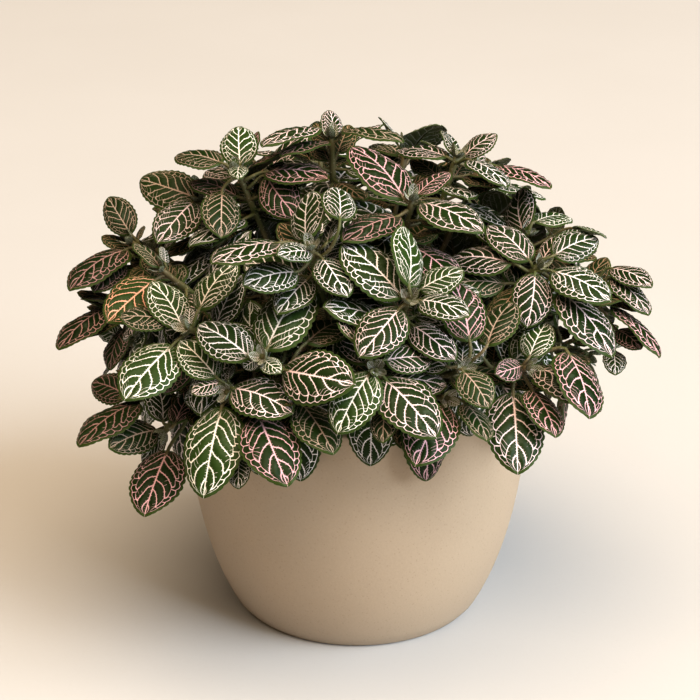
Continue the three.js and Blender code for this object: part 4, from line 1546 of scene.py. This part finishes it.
class Graph:
    """Writes a node tree in few words: an input takes a number, a colour or another node's output."""

    def __init__(self, tree: bpy.types.NodeTree) -> None:
        """Starts on a material's or a group's node tree."""
        self.tree = tree

    def put(self, value: "Wire | float | tuple", socket: bpy.types.NodeSocket) -> None:
        """Links or sets an input.

        Args:
            value: What goes in.
            socket: The input.
        """
        if isinstance(value, Wire):
            self.tree.links.new(value.socket, socket)
        elif isinstance(value, tuple) and len(value) < len(socket.default_value):
            socket.default_value = (*value, 1.0)
        else:
            socket.default_value = value

    def node(self, kind: str, inputs: dict | None = None, **settings: object) -> bpy.types.Node:
        """Adds a node.

        Args:
            kind: The node's type, without its first word.
            inputs: What goes into its inputs, by name or number.
            **settings: The node's own settings.

        Returns:
            The node.
        """
        made = self.tree.nodes.new("ShaderNode" + kind)
        for name, value in settings.items():
            setattr(made, name, value)
        for name, value in (inputs or {}).items():
            self.put(value, made.inputs[name])
        return made

    def math(self, operation: str, *values: "Wire | float") -> Wire:
        """Works out one step of arithmetic."""
        made = self.node("Math", dict(enumerate(values)), operation=operation)
        return Wire(self, made.outputs[0])

    def greatest(self, *values: Wire) -> Wire:
        """Gives the greatest of several values.

        Args:
            *values: The values.

        Returns:
            The greatest.
        """
        most = values[0]
        for value in values[1:]:
            most = self.math("MAXIMUM", most, value)
        return most

    def rise(self, value: Wire, low: "Wire | float", high: "Wire | float") -> Wire:
        """Goes smoothly from 0 to 1 as a value goes from low to high.

        Args:
            value: The value.
            low: Where the rise starts.
            high: Where it ends.

        Returns:
            The result, from 0 to 1.
        """
        inputs = {"Value": value, "From Min": low, "From Max": high}
        made = self.node("MapRange", inputs, interpolation_type="SMOOTHSTEP")
        return Wire(self, made.outputs[0])

    def line(self, distance: Wire, half_width: "Wire | float") -> Wire:
        """Draws a line with soft edges, from the distance to its middle and its half width."""
        return 1 - self.rise(distance, half_width * LINE_EDGES[0], half_width * LINE_EDGES[1])

    def mix(self, share: "Wire | float", first: "Wire | tuple", second: "Wire | tuple") -> Wire:
        """Blends two colours, by how much of the second one there is."""
        made = self.node("Mix", {0: share, 6: first, 7: second}, data_type="RGBA")
        return Wire(self, made.outputs[2])

    def place(self) -> Wire:
        """Gives the place on the piece, in metres."""
        return Wire(self, self.node("TexCoord").outputs["Object"])

    def vector(self, x: "Wire | float", y: "Wire | float", z: "Wire | float") -> Wire:
        """Joins three numbers into a vector."""
        return Wire(self, self.node("CombineXYZ", {0: x, 1: y, 2: z}).outputs[0])

    def parts(self, vector: Wire) -> tuple[Wire, Wire, Wire]:
        """Splits a vector or a colour into its three numbers."""
        made = self.node("SeparateXYZ", {0: vector})
        return tuple(Wire(self, made.outputs[index]) for index in range(3))

    def noise(self, place: Wire, scale: float, detail: float = 2.0, roughness: float = 0.5) -> Wire:
        """Gives a smooth random value from 0 to 1, with about this many waves in one unit of place."""
        inputs = {"Vector": place, "Scale": scale, "Detail": detail, "Roughness": roughness}
        return Wire(self, self.node("TexNoise", inputs).outputs["Fac"])

    def noises(self, place: Wire, scale: float) -> tuple[Wire, Wire, Wire]:
        """Gives three smooth random values round 0, from about -0.3 to 0.3."""
        made = self.node("TexNoise", {"Vector": place, "Scale": scale, "Detail": 0.0})
        return tuple(part - 0.5 for part in self.parts(Wire(self, made.outputs["Color"])))

    def stored(self, name: str) -> bpy.types.Node:
        """Reads a named attribute of the piece."""
        return self.node("Attribute", attribute_name=name)

    def number(self, name: str) -> Wire:
        """Reads a named number of the piece."""
        return Wire(self, self.stored(name).outputs["Fac"])

    def group(self, tree: bpy.types.NodeTree, inputs: dict) -> dict[str, Wire]:
        """Places a node group.

        Args:
            tree: The group.
            inputs: What goes into its inputs, by name.

        Returns:
            Its outputs, by name.
        """
        made = self.tree.nodes.new("ShaderNodeGroup")
        made.node_tree = tree
        for name, value in inputs.items():
            self.put(value, made.inputs[name])
        return {output.name: Wire(self, output) for output in made.outputs}

    def bump(self, height: Wire, distance: float, strength: float = 1.0) -> Wire:
        """Turns a height from 0 to 1 into a normal, with how far 1 stands out in millimetres."""
        inputs = {"Height": height, "Distance": distance * MM, "Strength": strength}
        return Wire(self, self.node("Bump", inputs).outputs["Normal"])


def new_group(name: str, takes: dict[str, float],
              gives: list[str]) -> tuple[bpy.types.NodeTree, Graph, dict[str, Wire]]:
    """Starts a shader node group whose sockets all carry numbers.

    Args:
        name: The group's name.
        takes: Its inputs, each with its usual value.
        gives: Its outputs.

    Returns:
        The tree, the graph that writes it, and its inputs by name.
    """
    tree = bpy.data.node_groups.new(name, "ShaderNodeTree")
    for socket, value in takes.items():
        made = tree.interface.new_socket(socket, in_out="INPUT", socket_type="NodeSocketFloat")
        made.default_value = value
    for socket in gives:
        tree.interface.new_socket(socket, in_out="OUTPUT", socket_type="NodeSocketFloat")
    graph = Graph(tree)
    entry = tree.nodes.new("NodeGroupInput")
    return tree, graph, {socket: Wire(graph, entry.outputs[socket]) for socket in takes}


def end_group(graph: Graph, results: dict[str, Wire]) -> None:
    """Sends a group's results to its outputs.

    Args:
        graph: The group's graph.
        results: Each output's value.
    """
    leave = graph.tree.nodes.new("NodeGroupOutput")
    for name, value in results.items():
        graph.put(value, leave.inputs[name])


def grain_group() -> bpy.types.NodeTree:
    """Builds the fine grain that the pot, the soil, the stems and the floor share.

    Returns:
        A group that gives soft blotches, a fine grain and sparse specks, each from 0 to 1.
    """
    layers, speck_share, speck_edges = 3.0, 0.5, (0.10, 0.24)
    takes = {"Blotch": 20.0, "Grain": 900.0}
    tree, graph, given = new_group("fine_grain", takes, ["Blotch", "Grain", "Speck"])
    place = graph.place()
    blotch = graph.noise(place, given["Blotch"], detail=layers, roughness=0.55)
    grain = graph.noise(place, given["Grain"], detail=layers, roughness=0.6)
    cells = graph.node("TexVoronoi", {"Vector": place, "Scale": given["Grain"] * speck_share})
    speck = 1 - graph.rise(Wire(graph, cells.outputs["Distance"]), *speck_edges)
    end_group(graph, {"Blotch": blotch, "Grain": grain, "Speck": speck})
    return tree


def vein_group() -> bpy.types.NodeTree:
    """Draws a blade's net of veins in its own UV space, for the grown and the young leaves.

    Returns:
        A group that gives the veins' mask, how far out and along a place is, and the swell between veins.
    """
    takes = {"Seed": 0.0, "Width": 1.0}
    tree, graph, given = new_group("leaf_veins", takes, ["Vein", "Out", "Run", "Swell"])
    u, v, _ = graph.parts(Wire(graph, graph.node("UVMap").outputs["UV"]))
    side = u * 2 - 1
    reach = abs(side)
    share = 0.5 - graph.math("COSINE", v * math.pi) * 0.5
    spot = graph.vector(u * WANDER.across, v * WANDER.along, given["Seed"] * WANDER.seed_step)
    drift, sway, jitter = graph.noises(spot, WANDER.scale)

    def shape(place: Wire) -> Wire:
        """Gives the blade's half width, in lengths.

        Args:
            place: How far from foot to tip it is asked for.

        Returns:
            The half width.
        """
        body = graph.math("MAXIMUM", place, 0.0) ** BLADE.base_power
        body = body * graph.math("MAXIMUM", 1 - place, 0.0) ** BLADE.tip_power
        return body * (BLADE.aspect / 2 / BLADE.top)

    apart = reach * shape(share)
    inner = shape((share - VEINS.ring_end) / (1 - 2 * VEINS.ring_end)) * VEINS.ring + VEINS.least_inner
    out = apart / inner
    bent = out + sway * WANDER.out
    from_foot = share + drift * WANDER.share - bent * VEINS.lean - bent * bent * VEINS.sweep
    from_foot = from_foot + graph.math("SIGN", side) * VEINS.stagger
    from_foot = graph.math("MAXIMUM", from_foot, 0.0) + VEINS.start
    phase = from_foot**VEINS.crowd * VEINS.pairs
    spread = from_foot ** (1 - VEINS.crowd) / (VEINS.pairs * VEINS.crowd)
    slope = (bent * (2 * VEINS.sweep) + VEINS.lean) / inner
    from_side = phase.apart() * spread / (slope * slope + 1) ** 0.5
    past = phase.fraction()
    loop = jitter * WANDER.loop + VEINS.loop + graph.math("SINE", past * math.pi) * VEINS.loop_bow
    from_loop = abs(bent - loop) * inner
    cell = v * VEINS.cells + jitter * WANDER.cell
    from_cross = abs(cell.fraction() - 0.5) * (VEINS.cross_slope / VEINS.cells)
    bulge = abs(graph.math("COSINE", cell * math.pi))
    from_chain = abs(out - VEINS.chain - bulge * VEINS.chain_bow) * inner
    rung = bent * VEINS.rung_out + share * VEINS.rung_share + jitter * WANDER.rung
    from_rung = rung.apart() / VEINS.rungs
    thorn = share * VEINS.thorns + jitter * WANDER.thorn
    thorn = thorn + graph.math("SIGN", side) * VEINS.thorn_stagger
    from_thorn = thorn.apart() / VEINS.thorns

    widening = graph.rise(inner, *FADES.narrow) * (1 - WIDTHS.narrow_share) + WIDTHS.narrow_share
    width = given["Width"] * widening
    within = 1 - graph.rise(out, *FADES.rim)
    broad = graph.rise(inner, *FADES.broad)
    past_loop = graph.rise(bent - loop, *FADES.loop)
    ends = graph.rise(share, *FADES.tip)
    tapered = (WIDTHS.midrib - share * WIDTHS.midrib_taper) * given["Width"]
    midrib = graph.line(apart, tapered) * (1 - ends)
    sides = graph.line(from_side, (WIDTHS.side - bent * WIDTHS.side_taper) * width)
    sides = sides * (1 - graph.rise(bent - loop, *FADES.side))
    loops = graph.line(from_loop, width * WIDTHS.loop) * within * broad
    chain = graph.line(from_chain, width * WIDTHS.chain) * (1 - ends)
    crosses = graph.line(from_cross, width * WIDTHS.cross) * past_loop
    crosses = crosses * (1 - graph.rise(out, *FADES.cross_rim)) * broad
    near = 1 - graph.rise(from_side, *FADES.stub)
    whole = graph.rise(sway + drift, *FADES.rung_patch) * graph.rise(bent, *FADES.rung_out)
    stubs = graph.line(from_rung, width * WIDTHS.rung) * graph.greatest(near, whole)
    stubs = stubs * (1 - past_loop) * broad * WIDTHS.faint
    thorns = graph.line(from_thorn, width * WIDTHS.thorn) * (1 - graph.rise(apart, *FADES.thorn))
    thorns = thorns * (1 - ends) * WIDTHS.faint
    vein = graph.greatest(midrib, sides, loops, chain, crosses, stubs, thorns)
    swell = graph.rise(from_side, *FADES.swell) * graph.rise(apart, *FADES.swell) * within
    end_group(graph, {"Vein": vein, "Out": out, "Run": share, "Swell": swell})
    return tree


def new_material(name: str) -> tuple[bpy.types.Material, Graph, bpy.types.Node]:
    """Starts a material.

    Args:
        name: The material's name.

    Returns:
        The material, the graph that writes it, and its main shader.
    """
    made = bpy.data.materials.new(name)
    made.use_nodes = True
    return made, Graph(made.node_tree), made.node_tree.nodes["Principled BSDF"]


@dataclass(frozen=True)
class LeafFinish:
    """A blade: deep green swelling with a painted sheen between pale veins, a plain green rim, a dull
    underside.
    """

    name: str
    deep: Colour = (0.006, 0.017, 0.002)
    fresh: Colour = (0.023, 0.050, 0.008)
    rim: Colour = (0.040, 0.066, 0.013)
    # The painted sheen: a pale grey-green that lightens the swells between the veins in patches, as
    # highlights would
    painted_sheen: Colour = (0.090, 0.115, 0.075)
    base: Colour = (0.34, 0.20, 0.15)
    under: Colour = (0.10, 0.125, 0.055)
    painted_sheen_share: float = 0.5
    base_share: float = 0.55
    base_fade: float = 3.0
    rim_share: float = 0.85
    under_share: float = 0.45
    mottle_scale: float = 420.0
    patch_scale: float = 75.0
    pimple_scale: float = 1500.0
    patch_edges: tuple[float, float] = (0.52, 0.68)
    sheen_edges: tuple[float, float] = (0.35, 0.7)
    rim_edges: tuple[float, float] = (1.01, 1.10)
    rough_edges: tuple[float, float] = (0.2, 0.9)
    swell_height: float = 0.6
    vein_depth: float = 0.25
    pimple_height: float = 0.25
    roughness: float = 0.46
    uneven: float = 0.2
    vein_rough: float = 0.12
    gloss: float = 0.12
    relief: float = 0.35
    relief_strength: float = 0.8

    def build(self, veins: bpy.types.NodeTree) -> bpy.types.Material:
        """Builds the material.

        Args:
            veins: The group that draws the veins.

        Returns:
            The material.
        """
        made, graph, shader = new_material(self.name)
        drawn = graph.group(veins, {"Seed": graph.number("leaf_seed"), "Width": graph.number("vein_width")})
        vein, out, run = drawn["Vein"], drawn["Out"], drawn["Run"]
        place = graph.place()
        mottle = graph.noise(place, self.mottle_scale, detail=3.0, roughness=0.6)
        tint = Wire(graph, graph.stored("vein_tint").outputs["Color"])
        tint = graph.mix((1 - run) ** self.base_fade * self.base_share, tint, self.base)
        green = graph.mix(graph.number("leaf_fresh"), self.deep, self.fresh)
        # Painted sheen: the swells between the veins lighten towards a pale grey-green in noisy patches
        patch = graph.rise(graph.noise(place, self.patch_scale, detail=1.0), *self.patch_edges)
        sheen_mask = drawn["Swell"] * graph.rise(mottle, *self.sheen_edges) * patch
        green = graph.mix(sheen_mask * self.painted_sheen_share, green, self.painted_sheen)
        green = graph.mix(graph.rise(out, *self.rim_edges) * self.rim_share, green, self.rim)
        upper = graph.mix(vein, green, tint)
        lower = graph.mix(vein * self.under_share, self.under, tint)
        graph.put(graph.mix(graph.number("leaf_under"), upper, lower), shader.inputs["Base Color"])
        rough = graph.rise(mottle, *self.rough_edges) * self.uneven + (self.roughness - self.uneven / 2)
        graph.put(rough + vein * self.vein_rough, shader.inputs["Roughness"])
        pimples = graph.noise(place, self.pimple_scale)
        height = drawn["Swell"] * self.swell_height - vein * self.vein_depth + pimples * self.pimple_height
        graph.put(graph.bump(height, self.relief, self.relief_strength), shader.inputs["Normal"])
        shader.inputs["Specular IOR Level"].default_value = self.gloss
        return made


@dataclass(frozen=True)
class GrainFinish:
    """A dull finish of two colours in soft blotches, with a fine grain and sparse specks."""

    name: str
    first: Colour
    second: Colour
    speck: Colour
    speck_share: float
    roughness: float
    relief: float
    blotch_scale: float = 20.0
    grain_scale: float = 900.0
    contrast: float = 0.5
    blotch_edges: tuple[float, float] = (0.35, 0.65)
    uneven: float = 0.14
    speck_depth: float = 0.3

    def build(self, grain: bpy.types.NodeTree) -> bpy.types.Material:
        """Builds the material.

        Args:
            grain: The shared grain group.

        Returns:
            The material.
        """
        made, graph, shader = new_material(self.name)
        drawn = graph.group(grain, {"Blotch": self.blotch_scale, "Grain": self.grain_scale})
        share = drawn["Blotch"] * (1 - self.contrast) + drawn["Grain"] * self.contrast
        share = graph.rise(share, *self.blotch_edges)
        colour = graph.mix(share, self.first, self.second)
        colour = graph.mix(drawn["Speck"] * self.speck_share, colour, self.speck)
        graph.put(colour, shader.inputs["Base Color"])
        rough = drawn["Grain"] * self.uneven + (self.roughness - self.uneven / 2)
        graph.put(rough, shader.inputs["Roughness"])
        height = drawn["Grain"] - drawn["Speck"] * self.speck_depth
        graph.put(graph.bump(height, self.relief), shader.inputs["Normal"])
        return made


GROWN = LeafFinish("grown_leaf")
# The bud's blades are paler and creamier, with a stronger painted sheen on their swells
YOUNG = LeafFinish("young_leaf", deep=(0.09, 0.11, 0.05), fresh=(0.15, 0.17, 0.08), rim=(0.17, 0.20, 0.08),
                   painted_sheen=(0.38, 0.36, 0.25), painted_sheen_share=0.6)
STEM = GrainFinish("hairy_stem", (0.060, 0.085, 0.018), (0.13, 0.10, 0.045), (0.34, 0.32, 0.22),
                   speck_share=0.5, roughness=0.6, relief=0.12, blotch_scale=70.0, grain_scale=1400.0,
                   contrast=0.3)
HAIR = GrainFinish("stem_hair", (0.62, 0.60, 0.46), (0.80, 0.74, 0.62), (0.9, 0.86, 0.78),
                   speck_share=0.3, roughness=0.5, relief=0.01)
STONEWARE = GrainFinish("stoneware", (0.437, 0.342, 0.246), (0.466, 0.366, 0.265), (0.33, 0.245, 0.165),
                        speck_share=0.35, roughness=0.72, relief=0.05, blotch_scale=14.0,
                        grain_scale=1100.0)
PEAT = GrainFinish("potting_soil", (0.018, 0.011, 0.007), (0.075, 0.048, 0.028), (0.16, 0.12, 0.08),
                   speck_share=0.4, roughness=0.92, relief=0.6, blotch_scale=160.0, grain_scale=1200.0)
TABLE = GrainFinish("cream_floor", (0.494, 0.497, 0.50), (0.506, 0.51, 0.515), (0.48, 0.48, 0.478),
                    speck_share=0.2, roughness=0.8, relief=0.02, blotch_scale=4.0, grain_scale=500.0,
                    contrast=0.3)


@dataclass(frozen=True)
class SoftLight:
    """A square soft light that looks at the plant, with its place and its size in metres."""

    name: str
    place: tuple[float, float, float]
    size: float
    power: float
    colour: Colour

    def add(self) -> None:
        """Adds the light."""
        towards = Vector(VIEW.target) * MM - Vector(self.place)
        bpy.ops.object.light_add(type="AREA", location=self.place,
                                 rotation=towards.to_track_quat("-Z", "Y").to_euler())
        light = bpy.context.object
        light.name = self.name
        light.data.size = self.size
        light.data.energy = self.power
        light.data.color = self.colour


@dataclass(frozen=True)
class Studio:
    """The plain cream floor, the room's even light, a soft light overhead and a key light at the right."""

    floor_side: float = 8.0
    floor_squares: int = 12
    room: Colour = (1.0, 0.72, 0.46)
    room_strength: float = 0.07
    tone: float = 0.9
    key: SoftLight = SoftLight("key_light", (2.85, -1.65, 2.4), 2.8, 282.0, (0.85, 0.93, 1.0))
    fill: SoftLight = SoftLight("overhead_light", (-0.3, -1.6, 6.4), 7.0, 808.0, (1.0, 0.78, 0.55))

    def build(self, finish: bpy.types.Material) -> None:
        """Sets up the floor, the lights and the colours' plain view.

        Args:
            finish: The floor's material.
        """
        deselect()
        bpy.ops.mesh.primitive_grid_add(x_subdivisions=self.floor_squares,
                                        y_subdivisions=self.floor_squares, size=self.floor_side)
        floor = bpy.context.object
        floor.name = "studio_floor"
        floor.data.materials.append(finish)
        self.key.add()
        self.fill.add()
        world = bpy.data.worlds.new("room")
        world.use_nodes = True
        background = world.node_tree.nodes["Background"]
        background.inputs["Color"].default_value = (*self.room, 1.0)
        background.inputs["Strength"].default_value = self.room_strength
        bpy.context.scene.world = world
        bpy.context.scene.view_settings.view_transform = "Standard"
        bpy.context.scene.view_settings.gamma = self.tone


def settle(piece: bpy.types.Object, node: str) -> None:
    """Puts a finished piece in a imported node's place.

    Args:
        piece: The finished piece.
        node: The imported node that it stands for.
    """
    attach(piece, "root")
    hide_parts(node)
    LOG.info("%s: %d faces", piece.name, len(piece.data.polygons))


def stem_nodes() -> list[str]:
    """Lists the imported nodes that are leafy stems, in order."""
    return sorted(name for name in frame["nodes"] if name.startswith("leafy_stem"))


def main() -> None:
    """Builds the pot, the soil and every leafy stem, then the studio round them."""
    logging.basicConfig(level=logging.INFO, format="%(message)s")
    grain, veins = grain_group(), vein_group()
    settle(Pot().build(STONEWARE.build(grain)), "pot")
    settle(Soil().build(PEAT.build(grain)), "soil")
    kit = StemKit(GROWN.build(veins), YOUNG.build(veins), STEM.build(grain), HAIR.build(grain))
    names = stem_nodes()
    stems = [LeafyStem(number, *StemReader(bpy.data.objects[name]).read(number))
             for number, name in enumerate(names, start=1)]
    Infill().grow(stems)
    LOG.info("%d leaves on %d stems", sum(len(stem.leaves) for stem in stems), len(stems))
    for stem, name in zip(stems, names):
        settle(stem.build(kit), name)
    kit.clear()
    Studio().build(TABLE.build(grain))
    VIEW.place_camera()


if __name__ == "__main__":
    main()
